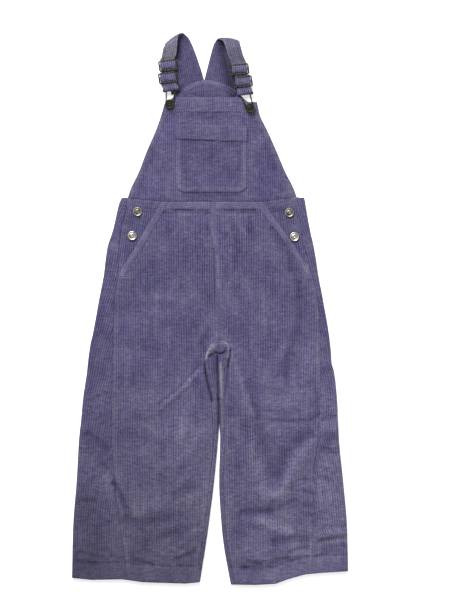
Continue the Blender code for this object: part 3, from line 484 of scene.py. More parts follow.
rightBody = (
    (166, 141.5, 130.5, 76, 4.7, 4.7, 0, 3.6),
    (160, 142.5, 130.5, 79.5, 4.7, 4.7, 0, 3.6),
    (118, 150, 136, 109, 5, 5, -3, 3.6),
    (91, 156, 142, 128.5, 10, 10, -5, 3.6),
    (47, 163, 154.5, 153.5, 12.2, 12.2, -9, 3.6),
    (13, 169.5, 161, 161, 12.4, 12.4, -13, 3.6),
    (-43.5, 179, 165, 165, 14.2, 13.2, -24, 3.6),
    (-49, 179.5, 165, 165, 24, 12, -21.5, 3.6),
    (-57, 180.5, 165, 165, 29.5, 11.65, -16.5, 4),
    (-67.5, 181.5, 165, 165, 31, 11.15, -9, 6.5),
    (-79, 182, 165, 165, 29.5, 10.85, -2, 5),
    (-94, 186, 165, 165, 27, 10.65, 0, 4.5),
    (-136, 190.5, 165, 165, 22.5, 13.1, 0, 3.6),
    (-167, 192, 163.2, 163.2, 22.5, 13.95, 0, 3.6),
    (-197, 193.5, 161, 161, 22.5, 15, 0, 3.6),
    (-257, 199.5, 154.5, 154.5, 20.5, 13.5, 0, 3.6),
    (-332, 205.5, 154, 154, 24.5, 18, 0, 3.6),
    (-407, 207, 153, 153, 37.5, 31, 0, 3.6),
)
# x of the seam at each y, then y of the hems at each x
centreSeam = ((-43.5, 14.2), (13, 12.4), (47, 12.2), (91, 10), (118, 5), (166, 4.7))
leftHem = ((-207, -403.5), (-177, -406.5), (-132, -405.5), (-100, -410), (-37, -412),
           (-15, -410))
rightHem = ((31, -413.5), (68, -414), (98, -412.5), (117, -405.5), (142, -398.5),
            (167, -396), (207, -393.5))

# The large folds of the upper layer
folds = (
    (-18, -92, -82.5, -149, 10, 2.4),       # drag line from the crotch, left leg
    (-90, -197, -15, -182, 13, 2.2),
    (-147.5, -247, -123, -314, 11, 3),
    (-183, -193, -157.5, -212, 10, 2.4),
    (-118, -306, -50, -296, 13, 2),
    (-60, -302, -14, -276, 9, 1.6, 2),
    (-180, -317, -90, -345, 12, 2),
    (-120, -20, -40, -8, 14, 1.8),
    (10, -36, -4, -62, 8, 2),               # raised seams round the crotch
    (19, -36, 33, -62, 8, 2),
    (36, -62, 48, -100, 10, 3),             # drag line from the crotch, right leg
    (48, -100, 67.5, -167, 11, 4),
    (129, -205, 109.5, -266, 12, 4),
    (112.5, -212, 93, -257, 10, -3),        # the V behind the knee
    (62, -200, 74, -262, 9, 2.2),
    (70, -268, 96, -287, 9, 3, -3),
    (96, -287, 124, -248, 9, 2.8, -3),
    (124, -248, 156, -194, 9, 2.4),
    (48, -306, 128, -292, 6, -1.4, -2),
    (70, -314, 124, -338, 8, 3, -3),
    (157.5, -344, 200, -341, 10, 2.4),
    (45, -371, 135, -359, 11, 2.6),
    (24, 140, 32, 30, 9, 1.8),              # gathers under the waist seam
    (62, 138, 56, 50, 9, 1.6),
)
# The finer creases
fine = (
    # left leg
    (-13, -84, -79, -147, 3.4, -3.4, 3),
    (-22, -99, -84, -158, 5, 1.6, 2),
    (-186, -187, -151, -216, 4.4, -3, 2),
    (-165, -232, -151, -243, 4, -2),
    (-147, -260, -118, -322, 4.4, -4, 3),
    (-158, -250, -141, -312, 7, 1.8, 2),
    (-103, -304, -66, -300, 6, 1),
    (-116, -320, -56, -314, 5, -1.3, -2.5),
    (-121, -324, -97, -335, 6, -2.4),
    (-81, -350, -45, -337, 4.6, -3, 2),
    (-47, -357, -16, -331, 6, 2, 2),
    (-57, -283, -23, -271, 6.5, -2.6, 2),
    (-79, -256, -56, -239, 5, -2.2, 1),
    (-196, -290, -170, -290, 4, -2.4),
    (-169, -303, -149, -316, 4, 1.6),
    (-114, -161, -85, -168, 5, -1.4, -2),
    (-12, -222, -30, -275, 9, -1.8, 3),
    (-58, -160, -47, -208, 13, 0.8),
    (-140, -110, -92, -121, 8, -1, 3),
    (-128, -136, -96, -131, 6, 0.9, -2),
    (-178, -140, -152, -128, 5, -1.2, 1),
    (-174, -158, -150, -150, 5, 1, -1),
    (-132, -185, -90, -196, 7, -1.1, -3),
    (-118, -222, -74, -214, 7, 1.2, 2),
    (-108, -236, -84, -245, 5, -1.2),
    (-198, -262, -176, -252, 5, 1.2),
    (-172, -330, -146, -322, 5, -1.6),
    (-196, -344, -168, -350, 5, 1.4),
    (-72, -330, -38, -318, 5, 1.4, -1),
    (-134, -352, -100, -362, 6, 1.4),
    (-199, -369, -159, -375, 2.8, -2.4, 1),
    (-196, -377, -177, -372, 2.4, 1.2),
    (-172, -366, -152, -362, 3, -1.4),
    (-150, -372, -127, -379, 2.8, -1.8),
    (-112, -377, -84, -385, 3, -2.6),
    (-81, -371, -60, -380, 2.8, -1.6),
    (-57, -381, -18, -366, 3.4, -2.8, 2),
    (-49, -371, -21, -355, 3.4, 1.6),
    (-40, -364, -24, -358, 2.4, -1.6),
    # right leg
    (31, -56, 53, -120, 5, 1.4, -2),
    (60, -104, 75, -170, 5, -3.4, -2),
    (123, -64, 111, -106, 9, -2.4),
    (118, -50, 104, -82, 7, 1.2),
    (86, -168, 151, -169, 2.8, -2.8, -1.5),
    (149, -169, 168, -158, 2.8, -2.6),
    (153, -186, 117, -215, 8, -3.2),
    (119, -212, 99, -263, 8, -3.4, 3),
    (70, -172, 96, -257, 7, -2.8, -3),
    (74, -262, 95, -290, 10, 1.8),
    (44, -306, 91, -305, 3.6, -2.2),
    (87, -305, 130, -288, 4, -2.6, -2),
    (91, -352, 153, -345, 5, -2.4, 2),
    (35, -335, 57, -343, 4, -2.6),
    (56, -326, 78, -334, 4, -1.6),
    (132, -257, 158, -259, 3, -1.8),
    (134, -265, 156, -268, 3, 1.2),
    (130, -275, 157, -279, 3, -1.6, 0.5),
    (138, -286, 154, -288, 3, 1.2),
    (140, -297, 157, -300, 3, -1.5),
    (136, -309, 157, -311, 3, -1.6),
    (160, -361, 204, -353, 4.6, -2.4, 3),
    (160, -350, 206, -341, 5, 1.4, 2),
    (163, -338, 204, -332, 3, -1.6),
    (164, -326, 202, -322, 4, 1.4),
    (166, -371, 203, -368, 3.4, 1.4),
    (54, -379, 79, -386, 3.4, -3),
    (66, -374, 92, -377, 3, 1.4),
    (92, -381, 118, -373, 3, -2),
    (117, -366, 151, -359, 3.2, -2.4, 1),
    (112, -372, 150, -367, 2.8, 1.4),
    (44, -392, 60, -386, 2.8, -1.6),
    (166, -168, 191, -162, 3.6, -2.4),
    (166, -180, 190, -184, 4, 1.4),
    (164, -193, 193, -199, 4, -1.8),
    (166, -210, 192, -221, 4.4, -2.2),
    (162, -232, 187, -240, 4, 0.8),
    (160, -254, 188, -262, 4, -1.4),
    (164, -290, 196, -284, 5, 1.2),
    (29, -148, 34, -166, 4, -2.4),
    (31, -194, 37, -210, 4.6, -2.8),
    (27, -224, 31, -248, 4, -1.6),
    (40, -232, 48, -270, 6, -1.4),
    (58, -106, 113, -115, 5, 0.6, -3),
    (62, -122, 124, -128, 5, -0.8, -3),
    (68, -140, 133, -142, 5, 0.6, -4),
    (76, -153, 131, -157, 4, -0.9, -3),
    (84, -182, 116, -188, 5, 1.2, -2),
    (134, -120, 160, -112, 5, -1.1),
    (138, -136, 162, -131, 5, 1),
    # round the crotch
    (-3, -58, -9, -92, 3, 1.6),
    (33, -58, 34, -84, 3, 1.6),
    (38, -70, 45, -96, 3.6, -1.6),
    (2, -30, -14, -58, 4, -1.8),
    (27, -32, 42, -54, 4, -1.8),
    (-18, -22, -38, -48, 7, -1.2),
    (44, -26, 60, -48, 7, -1.2),
    # hips
    (-56, 145.5, -24, 144, 2.6, -1.8, 1),
    (-26, 144, 4, 141, 2.6, -1.6, -1),
    (-72, 143, -50, 139, 3, -1.8),
    (-46, 140, -30, 139, 2.6, 1.2),
    (20, 145.5, 39, 145.5, 2.6, -1.7),
    (43, 142.5, 69, 147.5, 3, -2.4, -1),
    (46, 137, 62, 139, 2.6, 1.4),
    (25, 113, 30, 89, 2.8, -3),
    (35, 127, 44, 81, 2.8, -2.4, 1),
    (60, 143, 60, 109, 2.8, -2.4),
    (30, 121, 36, 94, 2.6, 1.4),
    (50, 119, 54, 83, 3.6, 1.6),
    (66, 139, 65, 103, 3.2, 1.2),
    (41, 80, 38, 54, 3.2, -1.8),
    (21, 76, 26, 38, 3.6, -1.6),
    (31, 60, 33, 22, 3.6, 1),
    (92, 122, 121, 84, 3.2, -3, -1),
    (120.5, 83, 121, 51, 3.2, -2.6),
    (135, 41, 134.7, 11, 2.8, -2.8),
    (104, 86, 92, 60, 7, 1.2),
    (-38, 104, -35, 60, 3.6, -1.1),
    (-58, 84, -55, 40, 4.4, -1),
    (-18, 94, -16, 50, 3.6, -1.4),
    (-4, 128, -2, 96, 3.2, -1.4),
    (-96, 60, -121, 20, 7, -1.3),
    (-112, -8, -62, -30, 6.5, -1.3, 2),
    (-130, -58, -62, -71, 8, -1.2, 3),
    (-84, 14, -30, 4, 7, 0.9, 2),
    (60, -18, 141, -31, 8, 1.1, -2),
    (78, 18, 132, 8, 7, -1, -2),
    (86, 46, 120, 36, 6, 0.9),
    (-160, -20, -146, -34, 5, 1),
    (-168, -66, -150, -80, 5, -1.2),
    (166, -60, 180, -72, 5, -1.3),
    (166, -96, 184, -92, 4, -1.4),
    (152, 30, 164, 16, 4, 1.2),
    (-156, 52, -142, 40, 4, -1.2),
)
# The side that lies on the floor keeps flat; these press into it from below where the cloth is bunched.
underside = (
    (-150, -30, -60, -58, 4, -1, 4),
    (-170, -140, -96, -166, 3.6, -1.1, 3),
    (-60, -112, -12, -150, 3.4, -1.2, -3),
    (-150, -262, -70, -284, 4, -1.1, 5),
    (-120, -342, -44, -330, 3.6, -1, -3),
    (40, -96, 92, -150, 3.6, -1.2, 3),
    (70, -196, 160, -214, 4, -1, -5),
    (52, -268, 128, -290, 3.6, -1.1, 3),
    (100, -346, 180, -336, 4, -1, -3),
    (60, -14, 140, -40, 4, -1, 4),
    (-70, 60, -20, 20, 3.8, -0.9),
    (30, 88, 90, 60, 3.8, -0.9, 3),
)


# How far a point moves so that the last row follows the hem.
def hemShift(hem, x, y):
    share = smooth((body["hemEase"] - y) / (body["hemEase"] - body["hem"]))
    return (readLine(hem, x) - body["hem"]) * share


# A soft furrow along a stitched line: how far away a point is from it, depth and half width.
def furrow(away, deep, reach):
    return -deep * np.exp(-(away / reach) ** 2)


turnUp = {"rise": 0.8, "furrow": 1.1, "secondFurrow": 0.5, "pucker": 0.55, "foot": 0.9}


# Height of the turned-up hem over the leg and of the puckers along its stitching.
def hemForm(x, y, low):
    high = y - low
    turned = turnUp["rise"] * smooth((body["hemHeight"] + 0.8 - high) / 1.6)
    stitched = furrow(high - body["hemHeight"] - 1.2 - 0.7 * np.sin(x / 8.3), turnUp["furrow"], 1.7)
    stitched = stitched * (0.7 + 0.3 * np.sin(x / 4.1 + 2.4 * np.sin(x / 17.0)) + 0.25 * np.sin(x / 23.0))
    second = furrow(high - body["hemHeight"] + 1.6, turnUp["secondFurrow"], 0.8)
    near = np.exp(-np.abs(high - body["hemHeight"]) / 7.0)
    puckers = turnUp["pucker"] * near * np.sin((x + 0.35 * high) / 2.6 + 1.5 * np.sin(x / 11.0))
    foot = -turnUp["foot"] * smooth((2.2 - high) / 2.2)
    return turned + stitched + second + puckers * (high > 0) + foot


# Height of the upper layer's outer skin
def topSkin(x, y, low=None):
    rise = creases(folds, x, y) + creases(fine, x, y) + ripple(x, y)
    if low is not None:
        rise = rise + hemForm(x, y, low)
    deepest = body["deepest"]
    return body["lift"] + np.where(rise < 0, -deepest * np.tanh(-rise / deepest), rise)


# Wales run a little unevenly in a washed cloth.
def drift(x, y):
    return 0.7 * np.sin(y / 61.0 + x / 90.0) + 0.4 * np.sin(y / 27.0 - x / 40.0)


# Painted light and shade: paler where a fold faces the light, darker where it turns away or lies in shade:
# x and y of both ends, width, how much lighter or darker, and how far the line bows.
paintedShades = (
    # left leg
    (-12, -84, -76, -143, 4.6, 0.34, 2),
    (-24, -112, -52, -216, 9, 0.2, -3),
    (-8, -176, -66, -250, 6, 0.24),
    (-20, -235, -45, -262, 6, 0.12),
    (-80, -262, -48, -236, 5, -0.2),
    (-64, -292, -14, -264, 7, -0.1, 2),
    (-40, -296, -12, -280, 5, 0.12),
    (-60, -350, -12, -318, 7, -0.14, 3),
    (-149, -242, -124, -315, 3.6, -0.22, 2),
    (-132, -316, -64, -317, 5, -0.13, -2),
    (-194, -188, -156, -210, 9, -0.14, 2),
    (-100, -266, -70, -290, 12, 0.08),
    (-128, -58, -122, -92, 20, 0.13),
    (-66, -36, -50, -48, 14, 0.13),
    (-135, -142, -100, -152, 13, 0.1),
    (-125, -26, -105, -28, 9, 0.1),
    (-165, -10, -178, -90, 9, -0.12),
    (-196, -376, -158, -380, 6, -0.16),
    (-122, -372, -96, -386, 6, -0.18),
    (-50, -385, -28, -362, 8, -0.2),
    (-30, -402, -18, -402, 8, 0.16),
    (-190, -330, -165, -322, 8, 0.1),
    (-182, -270, -176, -400, 24, -0.13),
    (-110, -334, -60, -338, 13, -0.09),
    (-120, -396, -45, -400, 12, -0.1),
    (-16, -212, -4, -300, 9, 0.06),
    (-154, -258, -141, -322, 4.6, 0.13),
    (-134, -303, -80, -309, 3.6, 0.14, -3),
    (-136, -198, -84, -234, 8, 0.07),
    (-34, -404, -12, -336, 9, -0.13),
    (-16, -192, -62, -244, 6, 0.07),
    (-28, -228, -70, -262, 5, -0.08),
    (-26, -104, -70, -140, 8, 0.08),
    (-22, -128, -36, -162, 9, 0.07),
    (-160, -350, -140, -352, 9, 0.08),
    # right leg
    (42, -72, 76, -168, 4.5, -0.16, -3),
    (76, -168, 99, -246, 9, -0.13, -4),
    (100, -254, 116, -214, 8, -0.18),
    (116, -214, 152, -189, 7, -0.14, 3),
    (92, -196, 97, -214, 12, -0.04),
    (51, -116, 68, -178, 7, 0.26),
    (62, -185, 72, -262, 8, 0.1),
    (68, -266, 94, -286, 9, 0.16, -3),
    (94, -286, 120, -252, 9, 0.18, -3),
    (120, -252, 140, -214, 10, 0.14),
    (140, -214, 158, -192, 7, 0.1),
    (44, -305, 96, -303, 4.4, -0.2),
    (72, -302, 136, -291, 6.5, -0.22, -5),
    (74, -313, 126, -338, 9, 0.25, -3),
    (44, -317, 90, -317, 4, 0.2),
    (104, -324, 126, -338, 5, 0.14),
    (38, -90, 57, -150, 7, 0.12),
    (62, -182, 80, -240, 7, 0.1),
    (166, -228, 163, -385, 3, 0.1),
    (62, -360, 104, -369, 7, -0.1),
    (160.5, -118, 160, -214, 1.8, -0.16),
    (168, -112, 167, -206, 4, 0.1),
    (92, -353, 150, -346, 6, -0.18, 2),
    (60, -345, 95, -352, 8, -0.1),
    (44, -385, 76, -390, 6, -0.26),
    (76, -388, 136, -371, 6, -0.18),
    (165, -361, 205, -353, 5, -0.26),
    (165, -342, 203, -336, 5, 0.12),
    (180, -246, 178, -335, 12, 0.13),
    (168, -165, 178, -205, 10, 0.1),
    (158, -222, 157, -330, 2.2, -0.2),
    (162, -215, 188, -188, 5, -0.18),
    (40, -404, 150, -398, 8, 0.1),
    (33, -56, 31.6, -86, 1.4, 0.34),
    (36, -66, 48, -122, 5, 0.16, -2),
    (60, -356, 56, -372, 12, -0.08),
    (44, -268, 46, -330, 9, -0.1),
    (183, -60, 188, -180, 10, 0.13),
    # hips
    (90, 124, 118, 80, 5, -0.18, -2),
    (118, 80, 134, 32, 6, -0.22, -2),
    (134, 32, 135, -20, 7, -0.26, -1),
    (135, -20, 121, -64, 6, -0.22, -1),
    (121, -64, 112, -108, 6, -0.16),
    (152, -50, 142, -98, 9, 0.22),
    (142, -98, 114, -156, 9, 0.14),
    (32, 126, 46, 76, 4.5, -0.1, 1),
    (61, 140, 58, 102, 4, -0.1),
    (22, 62, 47, 2, 5, -0.14, 2),
    (24, -6, 52, -58, 5, -0.12),
    (44, 128, 54, 96, 3.5, 0.1),
    (5.4, 92, 7.8, 18, 1.7, -0.4),
    (11, 78, 12.6, 30, 1.8, 0.2),
    (-8, 62, -5, 26, 3, 0.12),
    (26, 116, 31, 80, 2, 0.16),
    (23, 17, 45, -14, 2.8, 0.14),
    (-2, -36, -14, -56, 3.6, -0.14),
    (-145, 108, -132, 128, 6, 0.12),
    (-62, 138, -98, 62, 12, -0.08),
    (-148, 98, -128, 86, 8, 0.26),
    (-131, 84, -139, 44, 8, 0.28),
    (142, 70, 152, 48, 7, 0.2),
    (-96, 118, -136, 50, 6, 0.15),
    (82, 148, 104, 118, 6, 0.1),
    (126, 84, 144, 58, 6, 0.1),
    (-150, 4, -118, 2, 7, -0.2),
    (-128, 10, -50, 4, 5, -0.09),
    (-110, 18, -6, 18, 5, 0.12),
    (-52, 147, 2, 145, 3, -0.06),
    (18, 145, 70, 146, 3, -0.08),
    (-76, 155, -60, 155, 6, 0.2),
    (58, 153, 80, 151, 6, 0.2),
    (7, 156, 7, 140, 5, 0.18),
    (-40, 155, -20, 155, 5, 0.06),
    (-8, 154, 0, 154, 5, -0.14),
    (20, 154, 34, 154, 5, -0.1),
    (90, 147, 112, 146, 4, -0.34),
    (-100, 152, -86, 150, 5, -0.14),
    (-128, 140, -116, 120, 7, -0.12),
)


# How light the cloth is down the garment, how much more so towards the right, and how grey it has washed
toneDown = ((-410, 0.81), (-330, 0.86), (-250, 0.91), (-150, 0.86), (-60, 0.87), (60, 0.83), (160, 0.86))
toneRightwards = ((-410, 0.25), (-300, 0.19), (-150, 0.08), (0, 0.04), (160, 0.02))
greyDown = ((-412, 0.36), (-384, 0.32), (-380, 0.26), (-300, 0.22), (-180, 0.12), (-60, 0.0))


# How light the cloth is, partly faded cloth and partly painted light, lighter towards the right
def fadedAndLitTone(x, y):
    aside = readLine(toneRightwards, y) * np.clip(x / 150.0, -1.2, 1.2)
    return readLine(toneDown, y) * (1 + aside) + 0.02 * np.sin(x / 37.0 + y / 52.0)


# the faded tone under the painted light and shade of the folds
def shadedTone(x, y):
    return fadedAndLitTone(x, y) * np.maximum(0.45, 1 + creases(paintedShades, x, y))


# Rows of mesh points from the waist to the hem, closer together round the hem's stitching
def bodyRows():
    fork = body["fork"]
    upper = list(np.linspace(body["waist"], fork, round((body["waist"] - fork) / body["rowStep"]) + 1))
    last, stitched = body["forkRows"][-1], body["hem"] + body["hemHeight"]
    steps = round((last - stitched - 6) / body["rowStep"])
    lower = list(np.linspace(last, stitched + 6, steps + 1))[1:]
    lower += list(np.linspace(stitched + 6, stitched - 3.6, 10))[1:]
    lower += list(np.linspace(stitched - 3.6, body["hem"] + 3, 7))[1:]
    return np.array(upper + list(body["forkRows"]) + lower + [body["hem"] + 1.4, body["hem"]])


def innerEdge(table, y):
    seam = readLine(centreSeam, y)
    return np.where(y >= body["fork"] - 0.03, seam, readColumn(table, 4, y))


def frontEdge(table, y):
    wrap, mouth = readColumn(table, 2, y), readColumn(table, 3, y)
    return np.where(wrap < 0, np.maximum(wrap, mouth), np.minimum(wrap, mouth))


# The pile lies flat along the hem, and its stitching pulls small puckers, darkened with painted shade.
def hemTone(x, y, low):
    high = y - low
    near = np.exp(-((high - body["hemHeight"] - 1.4) / 2.8) ** 2)
    # painted shade in the puckers along the stitching
    puckerShade = 0.11 * np.sin(x / 2.7 + 2.4 * np.sin(x / 11.0)) + 0.1 * np.sin(x / 19.0 + 1.0) - 0.13
    return 1 - 0.05 * smooth((body["hemHeight"] - high) / 2.0) + near * puckerShade


def hemRibbed(y, low):
    return 1 - 0.45 * smooth((body["hemHeight"] + 0.5 - y + low) / 1.5)


# Where the seams meet at the crotch the inside shows: a pale smooth lip along the seam, puckered cloth
# across the middle and a hollow under it. The lip carries a painted highlight, and the hollow and the dark
# lines between the folds are painted shade. The right leg's inner fold is rubbed smooth and also carries a
# painted highlight.
crotchLips = (
    (-6.6, -78, -3, -64, 2.6, 1),
    (-2.8, -67, 7.6, -53, 4, 0.7, 1),
    (5, -53, 23, -52, 3.6, 0.4, 1),
    (23, -50.5, 29, -59, 2.4, 0.7, 0.6),
    (29, -59, 27, -76, 2.2, 0.9, 0.6),
    (26.5, -78, 24, -90, 2, 0.4),
    (-6.5, -80, -4, -98, 1.6, 0.4),
    (15.8, -80, 17.6, -135, 2.2, 1),
    (17.6, -132, 18.6, -182, 2.6, 0.45),
)
crotchHollows = (
    (7, -65.4, 22, -66, 2, 1.1, -1.4),
    (21.5, -66, 24.6, -59, 1.5, 0.8),
    (7.5, -66.5, -3, -73, 1.6, 0.85, 0.5),
    (-8.6, -80, 3.4, -140, 1.9, 0.85, -1.6),
    (11.2, -70, 12.4, -138, 1.6, 0.75),
    (12.6, -134, 13.8, -188, 2.2, 0.7),
    (6.5, -71, 8.4, -98, 3.4, 0.35),
    (30.8, -58, 25.6, -90, 1.8, 0.85, 0.6),
    (9, -60.5, 21, -60.5, 3.2, 0.22),
    (9, -56.6, 22, -57, 1.2, 0.22),
    (25.5, -92, 27, -122, 3, 0.2),
    (-4, -46, 6, -38, 2.2, 0.22),
    (-10, -66, -3.5, -52, 2.2, 0.34, 1),
)


# How far a point belongs to one of these tables, from 0 to 1
def shareOf(table, x, y):
    return np.clip(creases(table, x, y), 0.0, 1.0)


# Raised creases are rubbed and painted paler, troughs keep their dye and get painted shade.
def foldWearAndShade(x, y):
    relief = creases(folds, x, y) + 1.4 * creases(fine, x, y)
    return 1 + 0.13 * np.tanh(relief / 2.4)


# Down the legs and at the hems washing has left the cloth greyer.
def greyed(x, y):
    return readLine(greyDown, y) * (1 - 0.55 * smooth((x + 20) / 60.0))


# Here the ribs are pressed flat and only small wrinkles show.
flattened = (
    (92, -70, 112, -190, 32, -0.4),
    (30, 20, 46, -60, 22, -0.25),
    (-150, -20, -30, -6, 16, -0.25),
    (-190, -372, -30, -374, 9, -0.4),
    (46, -378, 140, -368, 9, -0.4),
    (70, -300, 128, -296, 8, -0.3),
    (-95, -60, -60, -72, 22, -0.2),
    (-8, 96, -6, 4, 13, 0.3),               # and here they stand up more
    (60, 132, 54, 50, 12, 0.3),
    (98, -320, 118, -332, 12, 0.3),
    (58, -140, 66, -240, 11, 0.3),
)


def ribsHere(x, y):
    lowerLeft = smooth((-250 - y) / 60.0) * smooth((0 - x) / 30.0)
    return np.clip(1 + creases(flattened, x, y) + 0.2 * lowerLeft, 0.4, 1.3)


# The panel's edges turn down into the seam.
def seamDip(away, deep=0.8):
    return furrow(away, deep, 1.6)


# Rubbing leaves a paler band a little inside a seam.
def seamWear(away, share):
    return share * np.exp(-((away - wear["inside"]) / wear["reach"]) ** 2)


def makeFront(side, table, hem):
    rows = bodyRows()
    mouth, inner = frontEdge(table, rows), innerEdge(table, rows)
    inward = 1.0 if side == "left" else -1.0
    mouth = mouth + inward * body["seam"] / 2
    inner = inner - inward * np.where(rows > body["fork"] - 0.3, body["gap"], body["seam"]) / 2
    x = between(mouth, inner, body["frontPoints"])
    y = rows[:, None] + hemShift(hem, x, rows[:, None])
    low = readLine(hem, x)
    z = topSkin(x, y, low)
    fromInner = np.abs(x - inner[:, None])
    fromMouth = np.abs(x - mouth[:, None])
    soft = 1 - 0.75 * smooth((rows + 66.0) / 10.0) * (rows < body["fork"])
    z = z + seamDip(fromInner) * soft[:, None] + seamDip(fromMouth)
    skin = np.stack((x, y, z), axis=2)
    across = np.maximum.accumulate(inward * x + drift(x, y), axis=1)
    worn = seamWear(fromMouth, wear["pocketEdge"]) + seamWear(fromInner, wear["seam"]) + greyed(x, y)
    tone = shadedTone(x, y) * foldWearAndShade(x, y) * hemTone(x, y, low)
    # painted shade in the crotch hollows
    tone = tone * (1 - crotch["frontHollowTone"] * shareOf(crotchHollows, x, y))
    atSeam = np.exp(-(np.minimum(fromInner, fromMouth) / 2.2) ** 2)
    cutPanel(f"front_{side}", skin, across, y, tone, worn, up=-inward,
             ribbed=ribsHere(x, y) * hemRibbed(y, low) * (1 - 0.5 * atSeam))


# One row of a back panel: from its edge on the front round the outer fold, along the floor and, below the
# crotch, up round the inner fold to the inseam.
def backRow(table, y, side):
    wrap, outer = float(readColumn(table, 2, y)), float(readColumn(table, 1, y))
    inward = 1.0 if side == "left" else -1.0
    roll = body["roll"]
    start, shoulder = wrap - inward * body["seam"] / 2, outer + inward * roll
    x = np.linspace(start, shoulder, body["runPoints"])
    rise = topSkin(x, y) + seamDip(np.abs(x - start))
    points = [(a, y, b) for a, b in zip(x, rise)]
    half = rise[-1] / 2
    for angle in foldAngles:
        turn = math.radians(angle)
        points.append((shoulder - inward * roll * math.sin(turn), y, half * (1 + math.cos(turn))))
    points.append((shoulder, y, 0.0))
    footAt = len(points) - 1

    seam = np.array((float(innerEdge(table, y)), y))
    # the legs' inner folds press on each other below the crotch
    touch = 0.2 * float(smooth((y + 186.0) / 14.0)) + 0.3 * float(smooth((y + 74.0) / 8.0))
    fold = np.array((float(readColumn(table, 5, y)) + inward * touch, y + float(readColumn(table, 6, y))))
    towards = math.copysign(1.0, seam[0] - shoulder)
    aboveFork = y > body["fork"] + 0.3
    if aboveFork:
        foot = np.array((seam[0] - towards * body["gap"] / 2, fold[1]))
    else:
        heading = (fold - seam) / np.linalg.norm(fold - seam)
        foot = fold - heading * roll
        seamEnd = seam + heading * body["seam"] / 2
        if y > body["fork"] - 0.3:
            seamEnd = seam + np.array((-towards * 0.3, -1.2))
    for t in np.linspace(0.0, 1.0, body["runPoints"] + 1)[1:]:
        points.append((shoulder + t * (foot[0] - shoulder), y + float(smooth(t)) * (foot[1] - y), 0.0))
    floorEnd = len(points) - 1
    if not aboveFork:
        ring = float(readColumn(table, 7, y))
        crest = fold - heading * ring
        height = float(topSkin(crest[0], crest[1]))
        lip = height / 2 + float(smooth((ring - roll) / roll)) * (body["forkLip"] - height / 2)
        for angle in foldAngles:
            turn = math.radians(angle)
            if angle <= 90:
                at = foot + heading * roll * math.sin(turn)
                z = lip * (1 - math.cos(turn))
            else:
                at = crest + (fold - crest) * math.sin(turn)
                z = lip - (height - lip) * math.cos(turn)
            points.append((at[0], at[1], z))
        for t in np.linspace(0.0, 1.0, 14):
            at = crest + t * (seamEnd - crest)
            dip = seamDip(np.linalg.norm(seamEnd - at), 1.0 - 0.7 * smooth((y + 66.0) / 10.0))
            points.append((at[0], at[1], float(topSkin(at[0], at[1]) + dip)))
    points = np.array(points)
    run = runLength(points)
    across = inward * points[:, 0]
    across[:footAt] = across[footAt] - (run[footAt] - run[:footAt])
    across[floorEnd:] = across[floorEnd] + (run[floorEnd:] - run[floorEnd])
    return points, across, floorEnd


